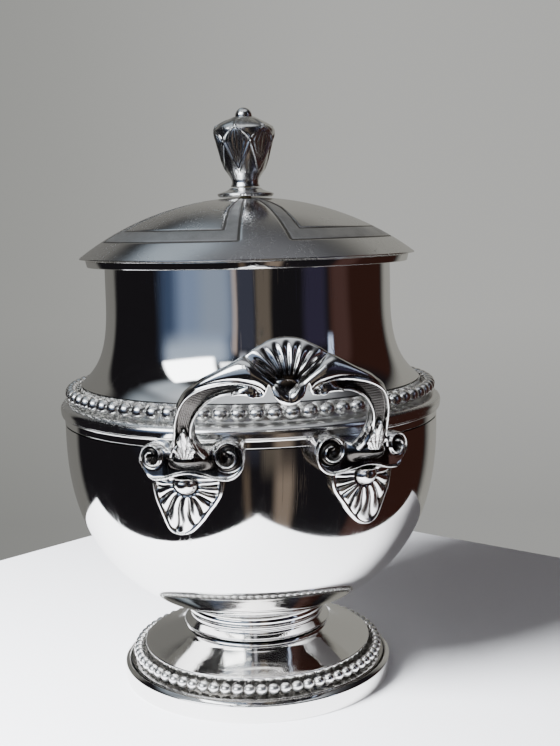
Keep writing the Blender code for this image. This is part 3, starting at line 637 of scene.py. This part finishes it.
archShape = {
    # outer edge's place across and height, then the inner edge's, from the crest to a leg's root
    "edges": [(0, 105.6, 0, 91.6), (2.0, 105.4, 1.9, 92.0), (3.9, 104.9, 3.4, 93.3), (5.4, 104.1, 4.4, 95.1),
              (7.1, 103.3, 5.0, 93.2), (8.8, 102.4, 6.5, 92.1), (10.6, 101.4, 8.6, 92.4), (13.4, 99.8, 11.2, 92.8),
              (16.8, 97.9, 13.8, 92.8), (19.4, 96.4, 15.9, 92.0), (21.3, 94.6, 17.7, 90.8), (22.9, 92.9, 19.2, 88.9),
              (24.2, 90.3, 20.3, 86.7), (24.9, 87.8, 20.8, 84.6), (25.3, 85.0, 20.8, 82.6), (25.4, 82.0, 20.3, 80.7),
              (25.7, 79.5, 19.2, 78.8), (26.3, 77.1, 17.6, 77.1)],
    "rim": [(25.9, 77.2), (25.3, 79.5), (25.0, 82.5), (24.9, 85.5), (24.5, 88.0), (23.6, 90.7), (22.0, 92.9), (19.2, 94.5),
            (15.5, 95.5), (12.1, 95.8), (9.6, 95.5), (7.3, 94.9), (5.8, 94.0), (5.5, 93.1), (6.3, 92.6),
            (7.5, 92.7), (8.5, 93.2)],
    # height and distance from the axis
    "lean": [(76, 63.7), (78, 64.6), (80, 65.5), (84, 67.7), (88, 70.2), (91, 72.2), (93.5, 73.5), (96, 74.0), (99, 73.7),
             (102, 72.6), (105, 71.0), (107, 69.8)],
    "thick": 2.6, "ridge": 0.55, "ridgeWidth": 0.36, "channel": 0.6, "hatch": 0.10, "hatchPitch": 0.62,
    "bossHeight": 94.3, "boss": 3.3, "shellHalf": 50.0, "flutes": 7, "fluteDepth": 0.085, "shellReach": 11.2,
}


def archRelief(t, z, outerGap, innerGap):
    # how far each place stands out from the loop's face, and how dark it is painted with patina and painted shade: the
    # sum of the pieces below
    shape = archShape
    rim = smoothRows(shape["rim"], 220)
    d, side = nearCurve(t, z, rim)
    above = smoothStep(-side * d, -0.1, 0.3)
    crown = rim[(rim[:, 0] > 5.8) & (rim[:, 1] > 93.95)][::-1]
    crown = crown[np.argsort(crown[:, 0])]
    over = z - np.interp(t, crown[:, 0], crown[:, 1])
    above *= np.where((t > 5.8) & (t < 19), smoothStep(over, -0.35, 0.1), 1)
    inner = np.array(shape["edges"])[8:]
    lean = inner[:, :2] - inner[:, 2:]
    second = inner[:, 2:] + 0.5 * lean / np.linalg.norm(lean, axis=1)[:, None]
    second = smoothRows(np.vstack([[(10.4, 93.6), (12.2, 93.5)], second]), 160)
    d2, side2 = nearCurve(t, z, second)

    # shell: ribs fan up from the boss, and the grooves between them end round
    rise = z - shape["bossHeight"] + 0.6
    reach, turn = np.hypot(t, rise), np.degrees(np.arctan2(t, rise))
    pitch = 2 * shape["shellHalf"] / shape["flutes"]
    phase = turn * (1 - 0.02 * (reach - 7)) / pitch
    groove = (0.5 + 0.5 * np.cos(2 * np.pi * phase)) ** 1.4
    border = np.radians(shape["shellHalf"] - np.abs(turn)) * reach
    shell = smoothStep(border, 0, 0.8) * smoothStep(reach, 3.2, 4.6)
    shell = shell * (1 - smoothStep(reach, shape["shellReach"] - 4.2, shape["shellReach"]))
    relief = -shape["fluteDepth"] * reach * groove * shell
    # patina and painted shade in the flutes and over the shell above the boss
    patinaAndShade = 0.6 * groove * shell
    relief += 1.1 * np.sqrt(np.clip(1 - ((reach - 7.6) / 5.2) ** 2, 0, 1)) * smoothStep(border, -0.2, 2.2)
    patinaAndShade = np.maximum(patinaAndShade, 0.7 * (1 - smoothStep(reach, 4.4, 7.2)) * smoothStep(border, 0, 1) * smoothStep(z, 93.6, 95.2))

    # smooth shoulder between the rim and the outer edge, swelling to a rounded nose beside the shell
    width = d + outerGap
    swell = np.clip(0.30 * width, 0.1, 2.1) * (1 - ((d - outerGap) / width) ** 2) ** 0.6
    relief += swell * above * np.sqrt(1 - (1 - np.clip(-border / 2.6, 0, 1)) ** 2)
    # painted shade in the seam between the lobe and the shell
    seam = gauss(border + 0.2, 0.5) * smoothStep(reach, 2.5, 4) * (1 - smoothStep(reach, 8, 10.5)) * above
    relief -= 0.3 * seam
    patinaAndShade = np.maximum(patinaAndShade, 0.75 * seam)

    # channel with its two raised lines and a hatched ground
    below = (1 - above) * smoothStep(d, 0.2, 0.7) * smoothStep(d2, 0.2, 0.7) * (side2 > 0) * smoothStep(np.abs(t), 9.5, 12)
    wave = 2 * np.pi / shape["hatchPitch"]
    hatch = np.cos((0.8 * t + 0.6 * z) * wave) * np.cos((0.5 * t - 0.9 * z) * wave)
    relief -= below * (shape["channel"] - shape["hatch"] * hatch)
    # patina and painted shade on the hatched ground
    patinaAndShade = np.maximum(patinaAndShade, below * (0.85 + 0.35 * hatch))
    firstLine = gauss(d, shape["ridgeWidth"]) * smoothStep(t, 4.6, 5.2)
    secondLine = gauss(d2, shape["ridgeWidth"]) * smoothStep(t, 11, 13)
    relief += shape["ridge"] * np.maximum(firstLine, secondLine)
    # painted shade under the first raised line
    under = above * gauss(d - 0.75, 0.35) * smoothStep(t, 4.8, 6)
    relief -= 0.18 * under
    patinaAndShade = np.maximum(patinaAndShade, 0.55 * under)

    # teardrop inside the scroll
    drop = smoothRows([(8.0, 93.7), (9.4, 93.9), (12.0, 93.6)], 60)
    d3, _ = nearCurve(t, z, drop)
    body = np.sqrt(np.clip(1 - (d3 / (1.15 - 0.6 * smoothStep(t, 9, 12.5))) ** 2, 0, 1))
    relief += 0.9 * body
    # painted shade on the ground inside the scroll
    ground = (1 - above) * smoothStep(d, 0.3, 0.7) * smoothStep(t, 5.5, 6.5) * (1 - smoothStep(t, 10, 12))
    patinaAndShade = np.maximum(patinaAndShade, 0.6 * ground) * (1 - body)

    # half-moon boss: a ball whose lower lip stands clear and whose top sinks into the shell, its top painted dark as
    # shade
    ball = np.hypot(t * 0.86, (z - shape["bossHeight"] + 0.4) * 1.25)
    dome = np.sqrt(np.clip(1 - (ball / shape["boss"]) ** 2, 0, 1))
    lower = 1 - smoothStep(z, 93.4, 95.4)
    relief += 1.5 * dome * (0.35 + 0.65 * lower)
    patinaAndShade = np.maximum(patinaAndShade * (1 - dome), 0.8 * dome * smoothStep(z, 93.9, 95.0))

    # leaf at the foot of the leg: lobes fan up from its root
    down = np.clip((84.4 - z) / 7.2, 0, 1.2)
    middle = 22.95 - 0.35 * down
    across = t - middle
    lobes = 1 + 0.13 * np.cos(2 * np.pi * 2.6 * down + 0.4)
    half = 2.75 * down**0.6 * lobes * (1 - 0.3 * smoothStep(down, 0.8, 1.15)) + 1e-6
    leaf = np.sqrt(np.clip(1 - (across / half) ** 2, 0, 1)) ** 0.7 * (down > 0)
    vein = np.abs(np.cos(np.pi * np.degrees(np.arctan2(across, z - 75.5)) / 14)) ** 0.5
    relief += leaf * (1.5 - 0.5 * (1 - vein))
    # painted shadow round the leaf's outline, and patina and painted shade in its veins
    shadow = gauss(np.abs(across) - half, 0.5) * (down > 0)
    patinaAndShade = np.maximum(patinaAndShade * (1 - smoothStep(leaf, 0, 0.25)), 0.45 * leaf * (1 - vein))
    patinaAndShade = np.maximum(patinaAndShade, 0.85 * shadow * (1 - smoothStep(leaf, 0, 0.3)))

    # edges rounded off as a quarter circle
    gap = np.minimum(outerGap, innerGap)
    relief -= 0.9 * (1 - np.sqrt(1 - (1 - np.clip(gap / 0.9, 0, 1)) ** 2))
    return relief, patinaAndShade


def handleSurface(t, z, offset):
    # the loop bends round the bowl and leans outwards; offset is measured square to its face
    lean = smoothRows(archShape["lean"], 120)
    radius = np.interp(z, lean[:, 0], lean[:, 1])
    slope = np.interp(z, lean[:, 0], np.gradient(lean[:, 1], lean[:, 0]))
    size = np.sqrt(1 + slope**2)
    out = radius + offset / size
    angle = np.arcsin(t / radius)
    return np.stack([out * np.cos(angle), out * np.sin(angle), z - offset * slope / size], -1)


def makeArch(prefix, turn):
    # rows run across the leg, from inner to outer edge, down its back and round again; the second leg is mirrored
    shape = archShape
    rows = smoothRows(shape["edges"], 260)
    across = np.linspace(0, 1, 84)[None]
    length = np.hypot(rows[:, 0] - rows[:, 2], rows[:, 1] - rows[:, 3])[:, None]
    t = rows[:, 2:3] + (rows[:, 0:1] - rows[:, 2:3]) * across
    z = rows[:, 3:4] + (rows[:, 1:2] - rows[:, 3:4]) * across
    relief, patinaAndShade = archRelief(t, z, length * (1 - across), length * across)
    back = np.linspace(1, 0, 18)[None]
    backT = rows[:, 2:3] + (rows[:, 0:1] - rows[:, 2:3]) * back
    backZ = rows[:, 3:4] + (rows[:, 1:2] - rows[:, 3:4]) * back
    deep = shape["thick"] + 0.7 * np.sin(np.pi * back) ** 0.6 + 0 * backT
    front = handleSurface(t, z, relief)
    behind = handleSurface(backT, backZ, -deep)
    middle = 0.5 * (front[:, -1:] + behind[:, :1]), 0.5 * (front[:, :1] + behind[:, -1:])
    lean = rows[:, :2] - rows[:, 2:]
    lean = 0.35 * lean / np.linalg.norm(lean, axis=1)[:, None]
    push = np.stack([0 * lean[:, 0], lean[:, 0], lean[:, 1]], -1)[:, None]
    half = np.concatenate([front, middle[0] + push, behind, middle[1] - push], 1)
    marks = np.concatenate([patinaAndShade, np.zeros((len(rows), 20))], 1)
    mirror = half[:0:-1] * np.array([1, -1, 1])
    grid = np.vstack([mirror, half])
    marks = np.vstack([marks[:0:-1], marks])
    grid, marks = withEnds(grid, marks)
    marks[[0, -1]] = 0
    surface(prefix + "HandleArch", grid * np.array([turn, turn, 1]), cast, "bowl", [prefix + "_handle_arch"],
            {"patinaAndShade": marks}, poleStart=True, poleEnd=True, sharp=50)


saddleShape = {
    # lower edge's place along the band and height, then the upper edge's; places are from the leg's middle, outwards
    "edges": [(-13.5, 75.6, -13.5, 76.2), (-13.2, 74.0, -13.2, 77.9), (-12.1, 71.9, -11.8, 79.5), (-10.4, 70.6, -9.4, 80.1),
              (-8.4, 70.2, -7.0, 79.4), (-6.2, 70.5, -5.4, 78.3), (-3.5, 71.2, -3.6, 77.9), (0, 71.7, 0, 77.9),
              (3.5, 71.2, 3.8, 77.9), (6.0, 70.3, 5.8, 77.7), (8.6, 69.8, 7.4, 78.6), (10.6, 70.6, 9.6, 79.1),
              (12.1, 72.4, 11.6, 78.4), (12.9, 74.2, 12.6, 77.2), (13.1, 75.4, 13.1, 75.9)],
    "ogee": [(-9.3, 70.55), (-6.2, 70.85), (-3.5, 71.5), (0, 72.05), (3.5, 71.5), (6.2, 70.6), (9.7, 70.2)],
    "legAngle": 21.1, "face": 59.3, "proud": 5.2, "ridge": 0.75, "ridgeWidth": 0.38,
    "inner": (-9.3, 76.0, (5.4, 3.75, 3.7, 2.85, 2.2, 1.75, 1.4)),
    "outer": (9.7, 75.6, (5.35, 2.95, 3.05, 2.35, 1.8, 1.45, 1.15)),
}


def spiral(place, height, radii, way):
    # a curve round place and height whose radius goes smoothly through the values given at every quarter turn from below
    turn = np.arange(len(radii)) * np.pi / 2
    dense = np.linspace(0, turn[-1], 150)
    radius = smoothRows([(r, a) for r, a in zip(radii, turn)], 150)[:, 0]
    angle = -np.pi / 2 + way * dense
    return np.stack([place + radius * np.cos(angle), height + radius * np.sin(angle)], 1)


def makeSaddle(prefix, place, side, turn):
    # two scrolls joined by an ogee line; the line is raised, the scrolls' eyes are cups, and the middle swells to carry a leg
    shape = saddleShape
    rows = smoothRows(shape["edges"], 230)
    across = np.linspace(0, 1, 76)[None]
    length = np.hypot(rows[:, 0] - rows[:, 2], rows[:, 1] - rows[:, 3])[:, None]
    a = rows[:, 0:1] + (rows[:, 2:3] - rows[:, 0:1]) * across
    z = rows[:, 1:2] + (rows[:, 3:4] - rows[:, 1:2]) * across
    inner, outer = spiral(*shape["inner"], -1), spiral(*shape["outer"], 1)
    line = np.vstack([inner[::-1], smoothRows(shape["ogee"], 90)[1:-1], outer])
    d, _ = nearCurve(a, z, line)
    scroll = np.zeros_like(a)
    relief = shape["ridge"] * gauss(d, shape["ridgeWidth"])
    for centre, height, radii in (shape["inner"], shape["outer"]):
        away = np.hypot(a - centre, z - height)
        inside = 1 - smoothStep(away, radii[1] - 0.5, radii[1])
        scroll = np.maximum(scroll, inside * (1 - gauss(d, 0.55)))
        relief += 0.5 * np.clip(1 - (away / (radii[1] + 0.4)) ** 2, 0, 1) - 0.9 * gauss(away, 0.3 * radii[1])
        scroll = np.maximum(scroll, gauss(away, 0.3 * radii[1]))
    relief -= 0.35 * scroll
    # painted shade on the swelling middle, and patina and painted shade in the scrolls' eyes
    body = smoothStep(d, 0.35, 0.8) * (1 - smoothStep(np.abs(a), 6, 8)) * (1 - smoothStep(z, 76, 77.5))
    patinaAndShade = np.maximum(0.95 * scroll, 0.9 * body)
    radius = shape["face"] + shape["proud"] * (1 - smoothStep(np.abs(a), 0.8, 6.6)) * smoothStep(z, 72.8, 76.0)
    gap = np.minimum(across, 1 - across) * length
    relief -= 0.8 * (1 - np.sqrt(1 - (1 - np.clip(gap / 0.8, 0, 1)) ** 2))
    front = radius + relief

    lip = bandSize["bottom"] + bandShape["lip"]

    def back(height):
        # just outside the bowl's strip below the lip and just outside the band above it
        return bowlSize["radius"] + 0.3 + 1.2 * smoothStep(height, lip - 0.6, lip - 0.2)

    def block(share, places, heights, radii, dark):
        # one strip of the casting's edge, as many columns wide as share
        places, heights, dark = (np.broadcast_to(value, share.shape) for value in (places, heights, dark))
        return places, heights, radii, dark

    top, low = rows[:, 2:4], rows[:, 0:2]
    steps = np.linspace(0.12, 1, 7)[None]
    full = np.ones((len(rows), 7))
    behind = np.linspace(0.9, 0.1, 9)[None]
    backA = low[:, :1] + (top[:, :1] - low[:, :1]) * behind
    backZ = low[:, 1:] + (top[:, 1:] - low[:, 1:]) * behind
    topBack, lowBack = back(top[:, 1:]), back(low[:, 1:])
    parts = [
        (a, z, front, patinaAndShade),
        # the edge strips are painted darker as shade
        block(full, top[:, :1], top[:, 1:], front[:, -1:] + (topBack - front[:, -1:]) * steps, 0.3),
        (backA, backZ, back(backZ), 0 * backA),
        block(full, low[:, :1], low[:, 1:], lowBack + (front[:, :1] - lowBack) * (steps - 0.12), 0.5),
    ]
    a, z, radius, marks = (np.concatenate([p[k] for p in parts], 1) for k in range(4))
    angle = side * (math.radians(shape["legAngle"]) + a / shape["face"])
    grid, marks = withEnds(aroundAxis(radius, angle, z) * np.array([turn, turn, 1]), marks)
    surface(f"{prefix}{place.capitalize()}Saddle", grid, cast, "bowl", [f"{prefix}_{place}_scroll_saddle"],
            {"patinaAndShade": marks}, poleStart=True, poleEnd=True, sharp=50)


palmetteShape = {
    # height, the middle's angle round the bowl and the half width, both in degrees
    "outline": [(70.2, 23.7, 9.6), (68.5, 23.8, 9.8), (65.7, 24.0, 9.4), (63.4, 24.5, 8.5), (61.0, 25.1, 7.1),
                (59.0, 25.6, 6.0), (57.3, 26.2, 4.9), (56.0, 26.7, 3.9), (55.1, 27.0, 2.7), (54.75, 27.1, 1.7)],
    "proud": 3.1, "bossAngle": 23.7, "bossHeight": 68.5, "boss": 2.5, "ribPitch": 21.0, "groove": 1.1,
}


def makePalmette(prefix, place, side, turn):
    # a fan on the bowl's wall, proud at its top; its ribs are a cosine of the angle round the boss, which is half a ball
    shape = palmetteShape
    rows = smoothRows(shape["outline"], 150)
    z = rows[:, :1]
    share = (rows[0, 0] - z) / (rows[0, 0] - rows[-1, 0])
    wall = bowlRadius(z - bowlSize["bottom"]) + 0.2
    x = np.sin(np.linspace(-0.5, 0.5, 118)[None] * np.pi * 0.92) / math.sin(0.46 * np.pi)
    angle = rows[:, 1:2] + rows[:, 2:3] * x
    wide = np.radians(rows[:, 2:3]) * wall
    slant = np.gradient(wide[:, 0], z[:, 0])[:, None]
    gap = np.minimum((1 - np.abs(x)) * wide / np.sqrt(1 + slant**2), rows[0, 0] - z + 0.3)
    over = np.radians(angle - shape["bossAngle"]) * wall
    down = (shape["bossHeight"] - z) * 1.04
    reach, fan = np.hypot(over, down), np.degrees(np.arctan2(over, down))
    rib = np.abs(np.cos(np.pi * (fan - 8 + 2.5 * np.sin(reach * 0.6 + fan / 19)) / shape["ribPitch"])) ** 0.55
    ends = smoothStep(gap, 0.75, 1.25 + 0.7 * (1 - rib)) * smoothStep(reach, shape["boss"] + 0.2, shape["boss"] + 1.8)
    relief = -shape["groove"] * (1 - rib) * ends * np.clip(reach / 7, 0.4, 1)
    relief += 0.15 * gauss(gap - 0.5, 0.3) - 0.1 * gauss(gap - 1.1, 0.3)
    ball = np.sqrt(np.clip(1 - (reach / shape["boss"]) ** 2, 0, 1))
    relief += 2.3 * ball - 0.3 * gauss(reach - shape["boss"] - 0.4, 0.5)
    # patina and painted shade in the grooves, round the boss and inside the outline
    patinaAndShade = np.maximum(np.clip(2.2 * (0.66 - rib), 0, 1) * ends, 0.75 * gauss(reach - shape["boss"] - 0.35, 0.45))
    patinaAndShade = np.maximum(patinaAndShade, 0.3 * gauss(gap - 1.05, 0.3)) * (1 - ball)
    proud = shape["proud"] * (1 - 0.68 * share) * (1 - 0.5 * x**2)
    proud = proud + relief * smoothStep(gap, 0, 0.35)
    front = wall + np.maximum(proud, 0.15)
    behind = np.broadcast_to(wall - 0.1, (len(rows), 16))
    backAngle = rows[:, 1:2] + rows[:, 2:3] * np.linspace(1, -1, 16)[None]
    radius = np.concatenate([front, behind], 1)
    angle = side * np.radians(np.concatenate([angle, backAngle], 1))
    marks = np.concatenate([patinaAndShade, np.zeros(backAngle.shape)], 1)
    grid, marks = withEnds(aroundAxis(radius, angle, z) * np.array([turn, turn, 1]), marks)
    surface(f"{prefix}{place.capitalize()}Palmette", grid, cast, "bowl", [f"{prefix}_{place}_palmette"],
            {"patinaAndShade": marks}, poleStart=True, poleEnd=True, sharp=50)


for prefix, turn in (("right", 1), ("left", -1)):
    makeArch(prefix, turn)
    for place, side in (("front", -1), ("rear", 1)):
        makeSaddle(prefix, place, side * turn, turn)
        makePalmette(prefix, place, side * turn, turn)
print("handles made")


# ---- surroundings, light and camera

table = {"near": 142.0, "nearSide": 4.0, "left": (-175.5, 37.5), "right": (169.4, 49.0), "far": (-12.0, 201.0), "thick": 18.0}
eye = {"distance": 309.24, "height": 130.17, "azimuth": -6.4, "down": 7.82, "sideways": -1.571, "tilt": -1.342, "lens": 52.295}


def viewAxes():
    # level directions from the eye towards the bowl and to its right
    turn = math.radians(eye["azimuth"])
    towards = Vector((-math.cos(turn), -math.sin(turn), 0))
    right = Vector((-math.sin(turn), math.cos(turn), 0))
    return towards, right


def makeCamera():
    # the eye looks level at the axis, then is turned sideways, down and over, in that order
    towards, right = viewAxes()
    yaw, pitch, roll = (math.radians(eye[key]) for key in ("sideways", "down", "tilt"))
    ahead = towards * math.cos(yaw) - right * math.sin(yaw)
    across = right * math.cos(yaw) + towards * math.sin(yaw)
    up = Vector((0, 0, 1))
    forward = ahead * math.cos(pitch) - up * math.sin(pitch)
    upward = ahead * math.sin(pitch) + up * math.cos(pitch)
    x = across * math.cos(roll) + upward * math.sin(roll)
    y = -across * math.sin(roll) + upward * math.cos(roll)
    data = bpy.data.cameras.new("camera")
    data.sensor_fit = "VERTICAL"
    data.sensor_height = 36
    data.lens = eye["lens"]
    data.clip_start = 0.01
    camera = bpy.data.objects.new("camera", data)
    bpy.context.scene.collection.objects.link(camera)
    place = (-towards * eye["distance"] + up * eye["height"]) * mm
    camera.matrix_world = Matrix.Translation(place) @ Matrix((x, y, -forward)).transposed().to_4x4()
    bpy.context.scene.camera = camera


makeCamera()


def makeTable():
    # a flat white slab on four corners, each given across and along the line of sight
    towards, right = viewAxes()
    corners = [(table["nearSide"], -table["near"]), table["right"], table["far"], table["left"]]
    flat = [right * x * mm + towards * y * mm for x, y in corners]
    thick = Vector((0, 0, -table["thick"] * mm))
    points = [tuple(p) for p in flat] + [tuple(p + thick) for p in flat]
    faces = [(0, 1, 2, 3), (7, 6, 5, 4)] + [(k, k + 4, (k + 1) % 4 + 4, (k + 1) % 4) for k in range(4)]
    mesh = bpy.data.meshes.new("tableTop")
    mesh.from_pydata(points, [], faces)
    material, nodes, links, shader = newMaterial("tableWhite", (0.87, 0.875, 0.91), 0.0, 0.5)
    mesh.materials.append(material)
    top = bpy.data.objects.new("tableTop", mesh)
    bpy.context.scene.collection.objects.link(top)


makeTable()

# what the silver mirrors, later patches lying over earlier ones; azimuths are from the viewer's side, to the right
# azimuth from, to, its softness, elevation from, to, its softness, colour
patches = {
    "wallLeft": (-215, -131, 4, -90, 33, 6, (0.19, 0.188, 0.178)),
    "wallRight": (135, 187, 8, -90, 45, 14, (0.33, 0.325, 0.30)),
    "wallGlow": (-168, -112, 14, 45, 66, 7, (0.46, 0.54, 0.62)),
    "cupboard": (66, 130, 3, -90, 28, 7, (0.032, 0.013, 0.010)),
    "cupboardEdge": (67, 84, 5, -90, 26, 8, (0.070, 0.036, 0.032)),
    "shelf": (43, 62, 4, -9, 12, 4, (0.030, 0.026, 0.050)),
    "slit": (63, 67.5, 1, 6, 34, 3, (0.75, 0.9, 1.25)),
    "door": (5, 16.5, 2.5, -15, 20, 6, (0.125, 0.105, 0.085)),
    "doorLow": (13, 24, 3, -90, -15, 6, (0.24, 0.19, 0.15)),
    "gap": (-9, 4, 2, -12, 16, 4, (0.045, 0.048, 0.070)),
    "frame": (-13.5, -9.5, 1.2, -10, 18, 4, (0.50, 0.40, 0.35)),
    "frameLow": (-6, -2, 1.5, -40, -14, 4, (0.10, 0.075, 0.055)),
    "glowFar": (-72, -16, 7, -10, 22, 4, (0.050, 0.075, 0.14)),
    "glow": (-57, -16, 8, -9, 24, 4, (0.22, 0.29, 0.44)),
    "glowLow": (-38, -15, 8, -9, 6, 4, (0.28, 0.34, 0.45)),
    "haze": (-68, -18, 7, 8, 26, 7, (0.50, 0.60, 0.76)),
    "cornice": (-104, -66, 10, 44, 66, 6, (0.55, 0.62, 0.70)),
    "overhead": (-105, 100, 25, 60, 140, 8, (0.80, 0.84, 0.90)),
    "window": (-71, -28, 2.5, 21, 47, 2, (8.0, 8.4, 8.8)),
    "sideWindow": (-23, -14, 1.5, 27, 54, 2, (3.6, 3.8, 4.0)),
    "lamp": (-7.5, -2, 1.5, 18, 58, 4, (0.50, 0.52, 0.60)),
}
room = {
    "dark": (0.011, 0.010, 0.012), "ceiling": (0.17, 0.175, 0.19), "ceilingFrom": 42, "ceilingTo": 72,
    "wallNear": (0.345, 0.347, 0.33), "wallFar": (0.51, 0.51, 0.492), "wallLow": 0.74, "bounce": (0.115, 0.108, 0.113),
}


def makeWorld():
    # the mirrored room by direction: each patch is the product of soft steps in azimuth and elevation
    world = bpy.data.worlds.new("room")
    bpy.context.scene.world = world
    world.use_nodes = True
    nodes, links = world.node_tree.nodes, world.node_tree.links
    nodes.clear()
    direction = node(nodes, "ShaderNodeTexCoord").outputs["Generated"]
    parts = node(nodes, "ShaderNodeSeparateXYZ")
    links.new(direction, parts.inputs[0])
    around = math2(nodes, links, "ARCTAN2", parts.outputs[1], parts.outputs[0])
    azimuth = math2(nodes, links, "MULTIPLY", around, 180 / math.pi)
    elevation = math2(nodes, links, "MULTIPLY", math2(nodes, links, "ARCSINE", parts.outputs[2]), 180 / math.pi)

    def fade(value, low, high):
        # a smooth step from 0 at low to 1 at high
        smooth = {"interpolation_type": "SMOOTHSTEP", "clamp": True}
        made = node(nodes, "ShaderNodeMapRange", smooth, **{"From Min": low, "From Max": high})
        links.new(value, made.inputs["Value"])
        return made.outputs[0]

    def turnedFrom(middle):
        # azimuth less the middle, wrapped to half a turn each way
        wrap = node(nodes, "ShaderNodeMath", {"operation": "WRAP"})
        wrap.inputs[1].default_value, wrap.inputs[2].default_value = 180, -180
        links.new(math2(nodes, links, "SUBTRACT", azimuth, middle + eye["azimuth"]), wrap.inputs[0])
        return wrap.outputs[0]

    mirrored = mixColor(nodes, links, fade(elevation, room["ceilingFrom"], room["ceilingTo"]), room["dark"], room["ceiling"])
    for start, end, softAcross, low, high, softUp, color in patches.values():
        away = math2(nodes, links, "ABSOLUTE", turnedFrom((start + end) / 2))
        half = (end - start) / 2
        mask = math2(nodes, links, "SUBTRACT", 1.0, fade(away, half - softAcross, half + softAcross))
        under = math2(nodes, links, "SUBTRACT", 1.0, fade(elevation, high - softUp, high + softUp))
        mask = math2(nodes, links, "MULTIPLY", mask, under)
        if low > -90:
            mask = math2(nodes, links, "MULTIPLY", mask, fade(elevation, low - softUp, low + softUp))
        mirrored = mixColor(nodes, links, mask, mirrored, color)

    # the wall seen behind is painted with light and shade: lightest to the right of the bowl and darker towards the
    # table
    side = fade(turnedFrom(180), 16, -8)
    wall = mixColor(nodes, links, side, room["wallNear"], room["wallFar"])
    shade = node(nodes, "ShaderNodeMapRange", {"clamp": True},
                 **{"From Min": -15, "From Max": -5, "To Min": room["wallLow"], "To Max": 1.0})
    links.new(elevation, shade.inputs["Value"])
    darker = node(nodes, "ShaderNodeMix", {"data_type": "RGBA", "blend_type": "MULTIPLY"})
    darker.inputs[0].default_value = 1
    links.new(wall, darker.inputs[6])
    links.new(shade.outputs[0], darker.inputs[7])
    rays = node(nodes, "ShaderNodeLightPath")
    lit = mixColor(nodes, links, rays.outputs["Is Diffuse Ray"], mirrored, room["bounce"])
    seen = mixColor(nodes, links, rays.outputs["Is Camera Ray"], lit, darker.outputs[2])
    background = node(nodes, "ShaderNodeBackground")
    links.new(seen, background.inputs["Color"])
    output = node(nodes, "ShaderNodeOutputWorld")
    links.new(background.outputs[0], output.inputs[0])


daylight = {"azimuth": -52, "elevation": 36, "distance": 0.55, "size": 0.24, "power": 25.5, "color": (0.97, 0.985, 1.0)}


def makeLight():
    # soft daylight on the table from the left front; the silver mirrors the room instead
    towards, right = viewAxes()
    across, up = math.radians(daylight["azimuth"]), math.radians(daylight["elevation"])
    way = (-towards * math.cos(across) + right * math.sin(across)) * math.cos(up) + Vector((0, 0, math.sin(up)))
    data = bpy.data.lights.new("daylight", "AREA")
    data.shape = "DISK"
    data.size = daylight["size"]
    data.energy = daylight["power"]
    data.color = daylight["color"]
    light = bpy.data.objects.new("daylight", data)
    light.visible_glossy = False
    bpy.context.scene.collection.objects.link(light)
    light.matrix_world = Matrix.Translation(way * daylight["distance"]) @ way.to_track_quat("Z", "Y").to_matrix().to_4x4()


makeLight()
makeWorld()
print("table, camera and surroundings made")
